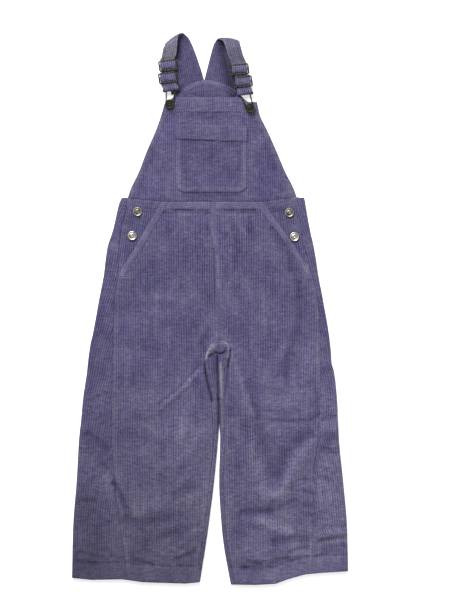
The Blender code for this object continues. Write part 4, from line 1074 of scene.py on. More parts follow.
def makeBack(side, table, hem):
    rows = np.concatenate(([body["top"]], bodyRows()))
    inward = 1.0 if side == "left" else -1.0
    made = [backRow(table, float(y), side) for y in rows]
    longest = max(len(points) for points, *_ in made)
    skin, across = np.zeros((len(rows), longest, 3)), np.zeros((len(rows), longest))
    for r, (points, run, _) in enumerate(made):
        n = len(points)
        skin[r, :n], across[r, :n] = points, run
        if n < longest:      # a row above the crotch ends at the back seam
            step = points[-1] - points[-2]
            extra = np.arange(1, longest - n + 1)[:, None] * 1e-4
            skin[r, n:] = points[-1] + extra * step
            across[r, n:] = run[-1] + extra[:, 0] * 1e-3
    x = skin[:, :, 0]
    low = readLine(hem, x)
    skin[:, :, 1] += hemShift(hem, x, skin[:, :, 1])
    y = skin[:, :, 1]
    place, lastFloorEnd = np.arange(longest)[None, :], made[-1][2]
    onTop = (place < body["runPoints"]) | (place > lastFloorEnd + len(foldAngles))
    lower = rows[:, None] < body["fork"]
    skin[:, :, 2] += np.where(onTop & lower, hemForm(x, y, low), 0.0)
    # creases press into the floor side from below, and the hem's edges lift off the floor
    onFloor = (skin[:, :, 2] < 0.01) & ~onTop
    pressed = creases(underside, x, y) + np.where(y < -300, np.minimum(hemForm(x, y, low) - 0.8, 0), 0)
    skin[:, :, 2] += np.where(onFloor, np.clip(-pressed, 0, 1.3), 0.0)
    across = np.maximum.accumulate(across - body["lean"] * y + drift(x, y), axis=1)
    slit = int(np.argmax(rows <= body["fork"] + 0.3)) - 1
    worn = seamWear(skin[:, :, 2], np.where(onTop, 0.0, wear["fold"]))      # halfway up the folded edges
    inside = (place > lastFloorEnd) & lower
    hollow = shareOf(crotchHollows, x, y) * inside
    lip = shareOf(crotchLips, x, y) * inside
    smoothed = np.maximum(lip, smooth((y + 68.0) / 5.0)) * inside
    raised = smooth((skin[:, :, 2] - 2.0) / 2.0)
    formed = skin[:, :, 2] + (crotch["lipRise"] * lip - crotch["hollowDepth"] * hollow) * raised
    skin[:, :, 2] = np.maximum(formed, np.minimum(skin[:, :, 2], 1.6))
    # the hidden side has its own creases, and a felled seam down the middle
    # painted light and shade on the hidden side: the upper side's strokes mirrored and moved, darker where
    # creases press in
    shaded = 1 + 0.6 * creases(paintedShades, 20.0 - x, y + 14.0) + 0.14 * creases(underside, x, y)
    fromSeam = np.abs(x - innerEdge(table, rows)[:, None]) + 50.0 * lower
    hidden = fadedAndLitTone(x, y) * shaded * (1 + furrow(fromSeam, 0.4, 1.0) + furrow(fromSeam - 6.5, 0.2, 0.8))
    tone = hemTone(x, y, low) * np.where(onFloor, hidden, shadedTone(x, y) * foldWearAndShade(x, y))
    # painted highlight on the lip and painted shade in the hollow
    tone = tone * (1 + crotch["lipPaleAndLit"] * lip) * (1 - crotch["hollowPaintedShade"] * hollow)
    # where the legs' inner folds press on each other the ribs are flat
    touching = np.exp(-((x - readColumn(table, 5, rows)[:, None]) / 2.6) ** 2)
    touching = touching * smooth((y + 200.0) / 16.0) * lower
    flat = np.maximum(np.maximum(smoothed, hollow), touching)
    worn = worn + greyed(x, y) + crotch["lipWear"] * lip + crotch["foldWear"] * smoothed
    cutPanel(f"back_{side}", skin, across, y, tone, worn, up=inward, slit=slit,
             ribbed=ribsHere(x, y) * hemRibbed(y, low) * (1 - 0.9 * flat))


makeFront("left", leftBody, leftHem)
makeFront("right", rightBody, rightHem)
print("front panels cut")
makeBack("left", leftBody, leftHem)
makeBack("right", rightBody, rightHem)
print("back panels cut")


# Strips stitched on the fronts, and the hip yokes

strips = {
    "rise": 1.25,             # outer skin above the panel's
    "round": 1.04,            # how far the folded edges turn down
    "thick": 1.2,
    "stitchDepth": 0.45,      # how far the stitching presses the strip down
    "pitch": 3.4,
    "pocketEnd": 44.0,        # lower end of the pocket mouths
    "mouthBand": 11.5,        # widths
    "waistBand": 12.0,
    "halfCentreStrip": 3.75,
    "centreEnd": -46.5,
}
threads = []              # rows of stitches, sewn when every piece is there


# A strip stitched on along both its long edges, which are given as rows of x and y. Its wales run across
# it. margins are the shares of its width where it is stitched down, and steps its mesh points across.
def makeStrip(name, oneEdge, otherEdge, up, surface, rise=strips["rise"], steps=9,
              margins=(0.16, 0.84), pitch=strips["pitch"], worn=0.12, ribbed=0.7, tone=shadedTone):
    oneEdge, otherEdge = np.array(oneEdge), np.array(otherEdge)
    u = np.linspace(0.0, 1.0, steps)[:, None, None]
    flat = oneEdge[None] * (1 - u) + otherEdge[None] * u
    x, y = flat[..., 0], flat[..., 1]
    run = runLength(flat[steps // 2])
    width = np.linalg.norm(otherEdge - oneEdge, axis=1)[None, :]
    away = np.minimum(u[..., 0], 1 - u[..., 0]) * width
    z = surface(x, y) + rise - strips["round"] * (1 - smooth(away / 1.6))
    for margin in margins:
        z = z + furrow((u[..., 0] - margin) * width, strips["stitchDepth"], 0.9)
        line = oneEdge * (1 - margin) + otherEdge * margin
        threads.append(np.column_stack((line, surface(line[:, 0], line[:, 1]) + rise - 0.35)))
    z = z + 0.18 * np.sin(run / 2.1 + 1.5 * np.sin(run / 9.0))[None, :] * np.exp(-(away / 3.0) ** 2)
    rub = worn * (0.6 + 0.5 * np.exp(-(away / 1.5) ** 2))
    cutPanel(name, np.stack((x, y, z), axis=2), np.broadcast_to(run, x.shape), u[..., 0] * width,
             tone(x, y) * 1.02, rub, up=up, pitch=pitch, groove=0.5, thick=strips["thick"],
             ribbed=ribbed, material=stripCorduroy)


def makeFrontStrips(side, table):
    inward = 1.0 if side == "left" else -1.0
    y = np.linspace(body["waist"], strips["pocketEnd"], 90)
    mouth = frontEdge(table, y) + inward * body["seam"] / 2
    turned = mouth + inward * strips["mouthBand"]
    # the band thins out at the lower end of the pocket
    makeStrip(f"pocket_edge_{side}", np.column_stack((mouth, y)), np.column_stack((turned, y)), inward,
              topSkin,
              rise=strips["rise"] * (0.25 + 0.75 * smooth((y - strips["pocketEnd"]) / 14.0)))

    y = np.array((body["waist"], body["waist"] - strips["waistBand"]))
    mouth = frontEdge(table, y) + inward * (body["seam"] / 2 + strips["mouthBand"] + body["gap"])
    inner = innerEdge(table, y) - inward * (body["gap"] / 2 + strips["halfCentreStrip"])
    x = between(mouth, inner, 60)
    upper, lower = (np.column_stack((x[k], np.full(60, y[k]))) for k in (0, 1))
    makeStrip(f"waist_band_{side}", upper, lower, -inward, topSkin,
              margins=(0.2, 0.84), worn=0.14)


# The strip over the centre seam lies lower and darker towards the crotch.
def makeCentreStrip():
    y = np.linspace(body["waist"], strips["centreEnd"], 120)
    half = strips["halfCentreStrip"] - body["gap"] / 2
    middle = readLine(centreSeam, y)
    makeStrip("centre_strip", np.column_stack((middle - half, y)), np.column_stack((middle + half, y)), 1.0,
              topSkin, rise=readLine(((-20, 0.5), (60, 1.3)), y),
              margins=(0.2, 0.8),
              tone=lambda a, b: shadedTone(a, b) * readLine(((10, 0.86), (50, 1.02)), b))


# The hip yoke lies under the pocket mouth and the back panel's edge, and carries the side buttons.
yoke = {
    "height": 4.8,
    "lowest": 36.0,
    "tuckOut": 2.5,          # how far it goes under the back panel
    "tuckIn": 12.0,          # and under the pocket's edge
    "hem": 15.0,
    "puff": 1.3,
    "stitching": (2.2, 15.0),
}
yokeTop = ((-130, 165.8), (-124.5, 165.5), (-73.5, 160.5), (-60, 159.2), (66, 159.2), (79.5, 160.5),
           (130.5, 166.7), (136, 167))
yokeCreases = (
    (-112, 136, -98, 131, 3, -1),
    (-121, 128, -108, 124, 3, -0.9),
    (-126, 98, -112, 92, 3.5, 0.9),
    (-128, 84, -118, 74, 3.5, -0.9),
    (90, 148, 112, 146.5, 2, -1.5),
    (96, 141, 114, 137, 3, 0.8),
    (118, 130, 128, 122, 3, -1),
    (128, 92, 138, 84, 3, -1.1),
    (130, 76, 141, 70, 3, 0.9),
)


def yokeSurface(x, y):
    return yoke["height"] + creases(yokeCreases, x, y) + 0.5 * ripple(x, y)


def makeYoke(side, table):
    inward = 1.0 if side == "left" else -1.0
    y = np.linspace(body["waist"], yoke["lowest"], 34)
    wrap, mouth = readColumn(table, 2, y), frontEdge(table, y)
    x = between(wrap - inward * yoke["tuckOut"], mouth + inward * yoke["tuckIn"], 61)
    # the top rows follow the yoke's own top edge
    lift = (readLine(yokeTop, x) - body["waist"]) * smooth((y[:, None] - body["waist"] + 45.0) / 45.0)
    y = y[:, None] + lift
    u = (x - wrap[:, None]) * inward
    free = np.maximum(np.abs(mouth - wrap), 0.1)[:, None]
    puff = yoke["puff"] * np.sin(np.pi * np.clip(u / free, 0, 1)) * smooth(free / 30.0)
    down = readLine(yokeTop, x) - y
    turned = 0.5 * smooth((yoke["hem"] - down) / 1.5) + furrow(down - yoke["hem"], 0.9, 1.1)
    showing = (u > 0) & (u < free)
    z = yokeSurface(x, y) * showing + yoke["height"] * ~showing + puff + turned * showing
    z = z - 0.8 * (1 - smooth(down / 1.6))
    across = np.maximum.accumulate(inward * x - 0.12 * y, axis=1)
    cutPanel(f"hip_yoke_{side}", np.stack((x, y, z), axis=2), across, y, shadedTone(x, y) * 0.97,
             0.1 * smooth((yoke["hem"] - down) / 2.0), up=-inward, pitch=wale["bib"])
    line = np.linspace(wrap[0] + inward * 3, mouth[0] - inward * 3, 30)
    for below in yoke["stitching"]:
        low = readLine(yokeTop, line) - below
        threads.append(np.column_stack((line, low, yokeSurface(line, low) + 0.2)))


makeFrontStrips("left", leftBody)
makeFrontStrips("right", rightBody)
makeCentreStrip()
makeYoke("left", leftBody)
makeYoke("right", rightBody)
print("strips and hip yokes made")


# The bib

bib = {
    "edge": 4.0,             # height of its outer skin at the side edges
    "crown": 1.0,            # how much higher the middle is
    "waistEdge": 4.7,
    "hem": 22.5,             # turned-down top edge
    "sideHem": 8.5,
    "sideStitching": (2.0, 8.5),
    "leftDroop": 9.5,        # how far the top corners hang
    "rightDroop": 7.0,
    "droopFrom": 268.0,
}
patchPocket = {
    "left": -51.0,
    "right": 55.5,
    "bottom": 174.0,
    "corner": 12.5,          # rounding of the lower corners
    "rise": 1.9,             # above the bib
    "hem": 22.5,
    "hemRise": 3.4,
    "stitching": (1.8, 8.0),
}
backBib = {
    "height": 1.7,           # outer skin above the floor
    "thick": 1.6,
    "inset": 2.0,
    "foot": 166.4,
    "band": 8.0,             # width of the band along the arch
}
# y, left edge, right edge
bibTable = (
    (316.5, -64.5, 70), (307, -68.5, 71), (294, -72, 73.5), (268, -81, 85.5),
    (238, -94, 99), (208, -105.5, 111.5), (178, -118, 124.5), (160, -123.5, 130),
)
waistSeam = ((-124.5, 165.8), (-73.5, 160.8), (-70, 160.4), (76, 160.4), (79.5, 160.8), (130.5, 167))
pocketTop = ((-51, 276.5), (55.5, 273.5))
arch = ((-68, 303), (-57, 311), (-54, 322.5), (-7, 343), (45.5, 322.5), (48.5, 312), (70, 303))
bibCreases = (
    (-35, 286.5, -23, 289, 2.2, -1.5),
    (-25, 288.5, -6, 290, 2.4, -1.7, 0.6),
    (-7, 290, 21, 291.5, 2.4, -1.6, -1),
    (-28, 283, -6, 283.5, 2.2, -1.3, 0.6),
    (-7, 283, 11, 286, 2.2, -1.5),
    (-38, 281, -20, 284.5, 2.4, 0.9),
    (-16, 286.5, 4, 287, 2, 0.9),
    (22, 286, 46, 287.5, 2.4, -1),
    (28, 281, 50, 281, 2.4, -0.8),
    (-62, 288, -44, 284, 2.6, -0.9),
    (-70, 268, -58, 240, 4, -0.7),
    (-80, 232, -62, 226, 4, 0.7),
    (-98, 208, -66, 200, 4.5, -0.8),
    (-104, 184, -70, 180, 4.5, 0.7),
    (64, 262, 84, 256, 4, -0.8),
    (66, 246, 88, 243, 4, 0.7),
    (64, 214, 100, 206, 4.5, -0.8),
    (70, 190, 112, 180, 4.5, -0.8),
    (-42, 169, 2, 167, 3, -1, 1),
    (2, 168, 48, 168.5, 3, -1.1),
    (58, 172, 96, 168, 3.4, -0.9),
)
pocketCreases = (
    (3.2, 252, 4.2, 208, 2, -1.9),
    (7.5, 240, 8, 200, 3, 0.8),
    (17, 249, 54, 246, 2.6, -1.9, -1),
    (-46, 254, 2, 251, 2.2, -1.3),
    (-40, 204, -12, 200, 3.4, -0.8),
    (-38, 226, -18, 228, 4, 0.6),
    (14, 234, 40, 228, 3.4, -0.9),
    (20, 216, 44, 212, 3.4, 0.8),
    (14, 198, 40, 194, 3.4, -0.7),
    (-8, 190, 6, 182, 3, 0.7),
)


def bibEdges(y):
    return readColumn(bibTable, 1, y), readColumn(bibTable, 2, y)


def bibSolid(x, y):
    left, right = bibEdges(y)
    crown = 1 - (2 * np.clip((x - left) / (right - left), 0, 1) - 1) ** 4
    plain = bib["edge"] + bib["crown"] * crown
    seamed = bib["waistEdge"] + (body["lift"] - bib["waistEdge"]) * np.minimum(1.0, 2.2 * crown)
    return plain + (seamed - plain) * smooth(1 - (y - body["waist"]) / 60.0)


def bibSurface(x, y):
    return bibSolid(x, y) + creases(bibCreases, x, y) + 0.35 * ripple(x, y)


# Painted light and shade on the bib, strokes as for the legs.
bibPaintedShades = (
    (-40, 287, 22, 287.5, 3.6, -0.2),
    (22, 287, 46, 286, 4, -0.1),
    (31, 313, 32, 300, 4, 0.2),
    (42, 310, 48, 296, 6, -0.12),
    (60, 292, 76, 262, 8, -0.16),
    (84, 252, 99, 204, 5.5, -0.26, -2),
    (64, 240, 82, 200, 10, -0.08),
    (98, 186, 110, 174, 7, -0.18),
    (-104, 192, -98, 174, 6, -0.2),
    (-84, 242, -92, 212, 7, -0.14),
    (-80, 282, -70, 258, 8, 0.1),
    (-66, 222, -60, 190, 8, -0.08),
    (-42, 169, 50, 168, 4, -0.16),
    (-44, 251, 2, 250, 3, -0.26),
    (19, 248, 46, 243, 3.4, -0.3, -1),
    (3, 246, 3.6, 188, 4, -0.15, 1),
    (7.5, 211, 9, 204, 3, 0.2),
    (-37, 246, -36, 190, 5, -0.08),
    (-14, 242, -12, 200, 11, -0.07),
    (44, 236, 43, 190, 4, -0.1),
    (-46.5, 275, -45.5, 257, 6, 0.2),
    (51, 272, 52.5, 253, 5, 0.22),
    (-16, 272, -14, 262, 6, 0.12),
    (21, 271, 22, 256, 5, -0.13),
    (36, 268, 37, 258, 5, -0.08),
)
# Behind them the back bib and the back runs of the straps lie in the shade of the front runs: painted
# shade, with a few places painted lighter.
backPaintedShades = (
    (16, 403, 20, 376, 6.5, -0.55),
    (20, 378, 28, 344, 6.5, -0.62),
    (28, 346, 36, 314, 8, -0.7),
    (-48, 404, -47, 370, 5, -0.5),
    (-46, 406, -38, 404, 4, -0.34),
    (-47, 338, -45, 320, 6, -0.6),
    (-48, 366, -47, 342, 5, -0.24),
    (-20, 352, -12, 352, 6, -0.1),
    (-9, 340, -5, 330, 5, 0.2),
    (4, 338, 20, 332, 3, 0.1),
    (-34, 330, -14, 337, 3, 0.14),
    (-30, 321, 28, 321, 5, -0.14),
    (-34, 392, -30, 380, 6, 0.12),
    (2, 352, 6, 372, 4, 0.12),
)


def bibTone(x, y):
    plain = np.interp(y, [160, 200, 320], [0.84, 0.84, 0.87]) + 0.02 * np.sin(x / 31.0 + y / 44.0)
    return plain * np.maximum(0.45, 1 + creases(bibPaintedShades, x, y))


# painted shade over the whole back layer, darker still along the strokes above
def shadedBack(x, y):
    return 0.76 * np.maximum(0.2, 1 + creases(backPaintedShades, x, y))


# The bib's top corners droop towards the buttons.
def droop(x, y):
    aside = bib["leftDroop"] * smooth((-54 - x) / 14.0) + bib["rightDroop"] * smooth((x - 46) / 13.0)
    return aside * droopShare(y)


def droopShare(y):
    return smooth((y - bib["droopFrom"]) / 48.5)


def drooped(y):
    share = droopShare(y)
    return bibEdges(y - bib["leftDroop"] * share)[0], bibEdges(y - bib["rightDroop"] * share)[1]


def makeBibFront():
    rows = np.linspace(bibTable[0][0], body["waist"], 60)
    left, right = drooped(rows)
    x = between(left, right, 181)
    fromWaist = rows[:, None] - body["waist"]
    y = rows[:, None] + (readLine(waistSeam, x) - body["waist"]) * smooth(1 - fromWaist / 50.0)
    y = y - droop(x, rows[:, None])
    away = np.minimum(x - left[:, None], right[:, None] - x)
    z = bibSurface(x, y)
    z = z + 0.5 * smooth((bib["sideHem"] - away) / 1.4) + furrow(away - bib["sideHem"], 0.9, 1.1)
    z = z - 1.0 * (1 - smooth(away / 1.8)) + furrow(y - readLine(waistSeam, x), 1.2, 2.0)
    cutPanel("bib_front", np.stack((x, y, z), axis=2), x + 0.6 * drift(x, y), y, bibTone(x, y),
             0.22 * smooth((bib["sideHem"] + 0.5 - away) / 2.0), up=-1,
             pitch=wale["bib"])
    for inset in bib["sideStitching"]:
        for edge, sign in ((left, 1), (right, -1)):
            line = edge + sign * inset
            low = rows - droop(line, rows)
            threads.append(np.column_stack((line, low, bibSurface(line, low) - 0.1)))


# The turned top edge
def makeBibHem():
    rows = np.array((bibTable[0][0], bibTable[0][0] - bib["hem"]))
    left, right = drooped(rows)
    x = between(left + 0.3, right - 0.3, 90)
    y = rows[:, None] - droop(x, rows[:, None])
    top, low = (np.column_stack((x[k], y[k])) for k in (0, 1))
    makeStrip("bib_hem", top, low, -1.0,
              lambda a, b: bibSolid(a, b) + 0.3 * ripple(a, b), margins=(0.1, 0.9), pitch=wale["bib"],
              steps=17, worn=0.04, ribbed=1.0, tone=lambda a, b: 0.95 * bibTone(a, b))


def makePatchPocket():
    rows = np.linspace(0.0, 1.0, 34)
    bottom, corner = patchPocket["bottom"], patchPocket["corner"]
    above = (readLine(pocketTop, 0.0) - bottom) * (1 - rows)
    inCorner = np.clip(corner - above, 0, corner)
    cut = 0.9 * (corner - np.sqrt(np.maximum(corner ** 2 - inCorner ** 2, 0)))
    left, right = patchPocket["left"] + cut, patchPocket["right"] - cut
    x = between(left, right, 121)
    y = readLine(pocketTop, x) * (1 - rows[:, None]) + bottom * rows[:, None]
    away = np.minimum(np.minimum(x - left[:, None], right[:, None] - x), y - bottom)
    outer, inner = patchPocket["stitching"]
    z = bibSolid(x, y) + patchPocket["rise"] + creases(pocketCreases, x, y) + 0.3 * ripple(x, y)
    z = z - 1.2 * (1 - smooth(away / 1.8)) + furrow(away - outer, 0.5, 0.8)
    z = z + 0.3 * smooth((inner - away) / 1.4) + furrow(away - inner, 0.7, 1.0)
    stitchedDown = smooth((inner + 0.5 - away) / 2.0)
    cutPanel("bib_pocket", np.stack((x, y, z), axis=2), x + 0.6 * drift(x, y), y,
             bibTone(x, y) * (0.97 + 0.13 * stitchedDown), 0.12 * stitchedDown,
             up=-1, pitch=wale["bib"])
    for inset in patchPocket["stitching"]:
        side = np.linspace(readLine(pocketTop, 0) - 1, bottom + corner, 30)
        radius = corner - inset
        leftLine = [(patchPocket["left"] + inset, height) for height in side]
        for angle in np.radians(np.linspace(0, 90, 9)):
            leftLine.append((patchPocket["left"] + corner - radius * math.cos(angle),
                             bottom + corner - radius * math.sin(angle)))
        rightLine = [(patchPocket["left"] + patchPocket["right"] - a, b) for a, b in leftLine]
        line = np.array(leftLine + rightLine[::-1])
        height = bibSolid(line[:, 0], line[:, 1]) + patchPocket["rise"] - 0.1
        threads.append(np.column_stack((line, height)))


def makePocketHem():
    x = np.linspace(patchPocket["left"], patchPocket["right"], 80)
    top = readLine(pocketTop, x)
    low = top - patchPocket["hem"] - 1.5 * (x - x[0]) / (x[-1] - x[0])
    makeStrip("bib_pocket_hem", np.column_stack((x, top)), np.column_stack((x, low)), -1.0,
              lambda a, b: bibSolid(a, b) + 0.3 * ripple(a, b),
              rise=patchPocket["hemRise"], margins=(0.1, 0.9), pitch=wale["bib"], steps=17, worn=0.08,
              ribbed=1.0, tone=lambda a, b: 0.9 * bibTone(a, b))


# The back bib is faced, so both its sides are corduroy. Its rows start along the arch, close together.
def makeBackBib():
    crest, foot = bibTable[0][0], backBib["foot"]
    apex = arch[3][0]
    u = np.linspace(0.0, 1.0, 161)
    skin = []
    for t in np.concatenate((np.linspace(0.0, 0.06, 5), np.linspace(0.06, 1.0, 36)[1:])):
        left, right = bibEdges(crest + t * (foot - crest))
        blend = float(smooth(t / 0.06))
        left = arch[0][0] * (1 - blend) + (left + backBib["inset"]) * blend
        right = arch[-1][0] * (1 - blend) + (right - backBib["inset"]) * blend
        x = np.where(u < 0.5, left + 2 * u * (apex - left), apex + (2 * u - 1) * (right - apex))
        high = readLine(arch, x) - 0.3
        skin.append(np.column_stack((x, high + t * (foot - high), np.full(161, backBib["height"]))))
    skin = np.array(skin)
    x, y = skin[..., 0], skin[..., 1]
    cutPanel("bib_back", skin, x + 0.5 * drift(x, y), y, shadedBack(x, y), 0.06,
             up=-1, pitch=wale["bib"], groove=0.45, thick=backBib["thick"], doubled=True,
             underTone=lambda along, tone: 0.84 + 0 * tone)


def makeArchBand():
    apex, top = arch[3]
    x = np.linspace(-48.0, 40.0, 60)
    dome = np.where(x < apex, 15.0 * ((x - apex) / 35.0) ** 2, 10.0 * ((x - apex) / 38.0) ** 2)
    dome = top - 0.6 - dome
    lower = np.column_stack((apex + (x - apex) * 0.88, dome - backBib["band"]))
    makeStrip("arch_band", np.column_stack((x, dome)), lower, -1.0,
              lambda a, b: backBib["height"] + 0.05 + 0 * a, margins=(0.22, 0.8), pitch=wale["bib"],
              worn=0.08, tone=lambda a, b: 1.06 * shadedBack(a, b))


makeBibFront()
makeBibHem()
makePatchPocket()
makePocketHem()
makeBackBib()
makeArchBand()
print("bib made")


# Straps

strap = {
    "thick": 2.0,
    "runWidth": 22.0,
    "pitch": 3.0,
    "groove": 0.34,
    "underBar": 4.5,      # height of its middle where it goes under a slide's edges
    "overBar": 8.8,       # and where it goes over the bar
    "clear": 0.3,         # between the strap and a wire
    "rowStep": 1.6,
    "faded": {"left": 1.0, "right": 0.35},     # how far the light has bleached the front runs
    # how light they are from the fold down to the upper slide, partly painted light
    "frontTone": {"left": (0.84, 0.97, 1.2, 1.3), "right": (0.82, 0.8, 1.02, 1.4)},
}
slide = {"width": 28.2, "height": 16.6, "bar": 2.3, "thick": 1.4, "corner": 2.4, "windowCorner": 0.6,
         "bevel": 0.5, "z": 6.6}
buckle = {"wire": 2.1, "bar": 13.0, "waist": 5.8, "drop": 15.0, "z": 7.7}
# x, y, z of the middle, width, slant of its cross line, bank
leftStrap = (
    (-33.2, 331, 1, 54, 24.6, 0),
    (-37, 350, 1, 50, 16.5, 0),
    (-40.6, 368, 1, 45.8, 12.4, 0),
    (-44.2, 384.5, 1, 41.5, 10.5, 0),
    (-47.2, 395, 1.3, 38.5, 14, 0),
    (-49.8, 402.6, 3, 35, 24, 0.6),
    (-53.2, 406.4, 7.2, 31, 33.5, 1),
    (-56.8, 403.4, 12.4, 26.2, 35.5, 1),
    (-58.9, 395.5, 13.4, 23.2, 25, 1),
    (-60.6, 384.5, 10.6, 22.3, 12, 0.6),
    (-61.6, 378, 8, 22, 9, 0),
)
rightStrap = (
    (18, 331.2, 1, 57.5, -23.6, 0),
    (19.8, 350, 1, 51.5, -12, 0),
    (21.4, 367, 1, 46.5, -8, 0),
    (23, 383, 1, 41.8, -5, 0),
    (24.4, 393, 1.3, 38.6, -6, 0),
    (26, 400.4, 3, 35.6, -7, -0.6),
    (28.2, 404.6, 7.2, 31, -7, -1),
    (31.4, 401.2, 12.4, 26.2, -4, -1),
    (34.6, 391.4, 13.4, 23, 0, -1),
    (38, 379.5, 10.6, 22.5, 4, -0.6),
    (41, 372.6, 8, 22, 5.4, 0),
)
# x, y and turn of the hardware
slides = {
    "left": ((-63, 364, 8.5), (-63.2, 345.4, 8.5)),
    "right": ((44.4, 358.2, 5.4), (49.6, 339.6, 6)),
}
buckles = {"left": (-58.6, 328.5, 7), "right": (52.4, 322.8, 8)}
bibButtons = {"left": (-60.5, 306), "right": (60, 300)}
sideButtons = {
    "side_button_left_upper": (-108.5, 145),
    "side_button_left_lower": (-116.5, 109),
    "side_button_right_upper": (119, 143.5),
    "side_button_right_lower": (126.5, 107.5),
}


# The way down the strap where it is turned by so many degrees
def downFrom(turn):
    return np.array((math.sin(math.radians(turn)), -math.cos(math.radians(turn))))


# The strap's own rows, then its run through the slides and round the buckle's bar
def strapRows(side, table):
    rows = [list(row) for row in table]
    half = (slide["height"] - slide["bar"]) / 2
    under, over, width = strap["underBar"], strap["overBar"], strap["runWidth"]
    middle = (under + over) / 2
    for x, y, turn in slides[side]:
        for along, z in ((-half - 2.0, under + 0.4), (-half, under), (-0.84 * half, under + 0.5),
                         (-0.66 * half, middle + 0.5), (-0.44 * half, over - 0.3), (0.0, over + 0.2),
                         (0.44 * half, over - 0.3), (0.66 * half, middle + 0.5), (0.84 * half, under + 0.5),
                         (half, under), (half + 1.6, under + 0.4)):
            at = np.array((x, y)) + along * downFrom(turn)
            rows.append([at[0], at[1], z, width, turn, 0.0])
    x, y, turn = buckles[side]
    radius = buckle["wire"] / 2 + strap["thick"] / 2 + 2 * strap["clear"]
    for angle in (-110.0, -70.0, -35.0, 0.0, 35.0, 75.0):
        a = math.radians(angle)
        at = np.array((x, y)) + radius * math.cos(a) * downFrom(turn)
        rows.append([at[0], at[1], buckle["z"] - radius * math.sin(a), width, turn, 0.0])
    return np.array(rows)


# run is how far along the strap each of its rows is: row 6 is the top of the fold, row 10 the last of its
# own rows, row 11 the first of the upper slide's.
def makeStrap(side, table):
    rows = strapRows(side, table)
    run = runLength(rows[:, :3])
    steps = [max(2, math.ceil(gap / strap["rowStep"]) + 1) for gap in np.diff(run)]
    s = np.unique(np.concatenate([np.linspace(a, b, n) for a, b, n in zip(run, run[1:], steps)]))
    x, y, z, width, slant, bank = (ease(run, rows[:, k], s) for k in range(6))
    turn = np.radians(slant)
    u = np.linspace(-0.5, 0.5, 41)
    px = x[:, None] + u * (width * np.cos(turn))[:, None]
    py = y[:, None] + u * (width * np.sin(turn))[:, None]
    pz = z[:, None] + u * bank[:, None]
    # the fold bows, and between the bars the strap puffs up with its edges drawn down
    py = py - 3.4 * (np.exp(-((s - run[6]) / 9.0) ** 2)[:, None] * np.abs(2 * u) ** 2.4)
    puffed = (smooth((z - slide["z"]) / 1.6) * (s > run[10]))[:, None]
    pz = pz - 1.5 * puffed * np.abs(2 * u) ** 5
    middle = np.stack((px, py, pz), axis=2)
    normal = np.cross(np.gradient(middle, axis=1), np.gradient(middle, axis=0))
    normal /= np.linalg.norm(normal, axis=2, keepdims=True)
    away = (0.5 - np.abs(u)) * width[:, None]
    half = strap["thick"] / 2 * (0.55 + 0.45 * smooth(away / 2.2)) + furrow(away - 3.0, 0.28, 0.8)
    skin = middle + normal * half[..., None]

    # painted shade on the fold and under the slides' edges, palest where the front run enters the slides
    tones = (0.86, 0.8, *strap["frontTone"][side], 0.98, 0.84)
    tone = np.interp(s, [0, run[5], run[7], run[8], run[10], run[11], run[13], run[-1]], tones)
    # painted shade where the strap dips under the slides' bars
    tone = tone * np.where(s > run[11], 0.62 + 0.38 * smooth((z - 4.8) / 3.4), 1.0)
    # painted shade under the buckle's bar
    tone = tone * (1 - 0.55 * smooth((s - run[-5]) / 1.5))      # under the buckle's bar
    # the back run takes the painted shade of the back layer
    behind = smooth((run[7] - s) / 8.0)[:, None]
    tone = tone[:, None] * (1 + behind * (shadedBack(px, py) - 1))
    bleached = (0.12 + 0.42 * strap["faded"][side]) * (1 - behind) * (s < run[12])[:, None]
    worn = 0.16 * np.exp(-(away / 2.0) ** 2) + 0.08 + bleached
    cutPanel(f"strap_{side}", skin, u * width[:, None], np.broadcast_to(s[:, None], px.shape), tone, worn,
             pitch=strap["pitch"], groove=strap["groove"], thick=strap["thick"],
             ribbed=1.0 + 0.6 * (1 - behind), doubled=True,
             underTone=lambda along, tone: 0.86 + (tone - 0.86) * smooth((along - run[5]) / 5.0))
    for edge in (-1, 1):
        v = edge * (0.5 - 3.0 / width)
        line = np.stack((x + v * width * np.cos(turn), y + v * width * np.sin(turn), z + v * bank), axis=1)
        out = normal[:, 20 + edge * 17] * strap["thick"] / 2 * 0.8
        threads.append(line + out)
        threads.append(line - out)


makeStrap("left", leftStrap)
makeStrap("right", rightStrap)
print("straps made")


# Hardware

def roundedBox(width, height, corner, up=0.0):
    points = []
    for sx, sy, start in ((1, 1, 0), (-1, 1, 90), (-1, -1, 180), (1, -1, 270)):
        for step in range(7):
            a = math.radians(start + step * 15)
            points.append((sx * (width / 2 - corner) + corner * math.cos(a),
                           up + sy * (height / 2 - corner) + corner * math.sin(a)))
    return points


def addOutline(curve, points):
    spline = curve.splines.new("POLY")
    spline.points.add(len(points) - 1)
    for point, (x, y, *z) in zip(spline.points, points):
        point.co = (x * mm, y * mm, z[0] * mm if z else 0.0, 1.0)
    spline.use_cyclic_u = True


# A flat slide with two windows and rounded edges
def makeSlide(name, x, y, turn):
    curve = bpy.data.curves.new(name, "CURVE")
    curve.dimensions, curve.fill_mode = "2D", "BOTH"
    curve.extrude = (slide["thick"] / 2 - slide["bevel"]) * mm
    curve.bevel_depth, curve.bevel_resolution = slide["bevel"] * mm, 3
    curve.offset = -slide["bevel"] * mm
    addOutline(curve, roundedBox(slide["width"], slide["height"], slide["corner"]))
    window = (slide["height"] - 3 * slide["bar"]) / 2
    for side in (-1, 1):
        addOutline(curve, roundedBox(slide["width"] - 2 * slide["bar"], window, slide["windowCorner"],
                                     side * (window + slide["bar"]) / 2))
    piece = addPiece(name, curve, antiqueBrass)
    piece.location = (x * mm, y * mm, slide["z"] * mm)
    piece.rotation_euler = (0.0, 0.0, math.radians(turn))


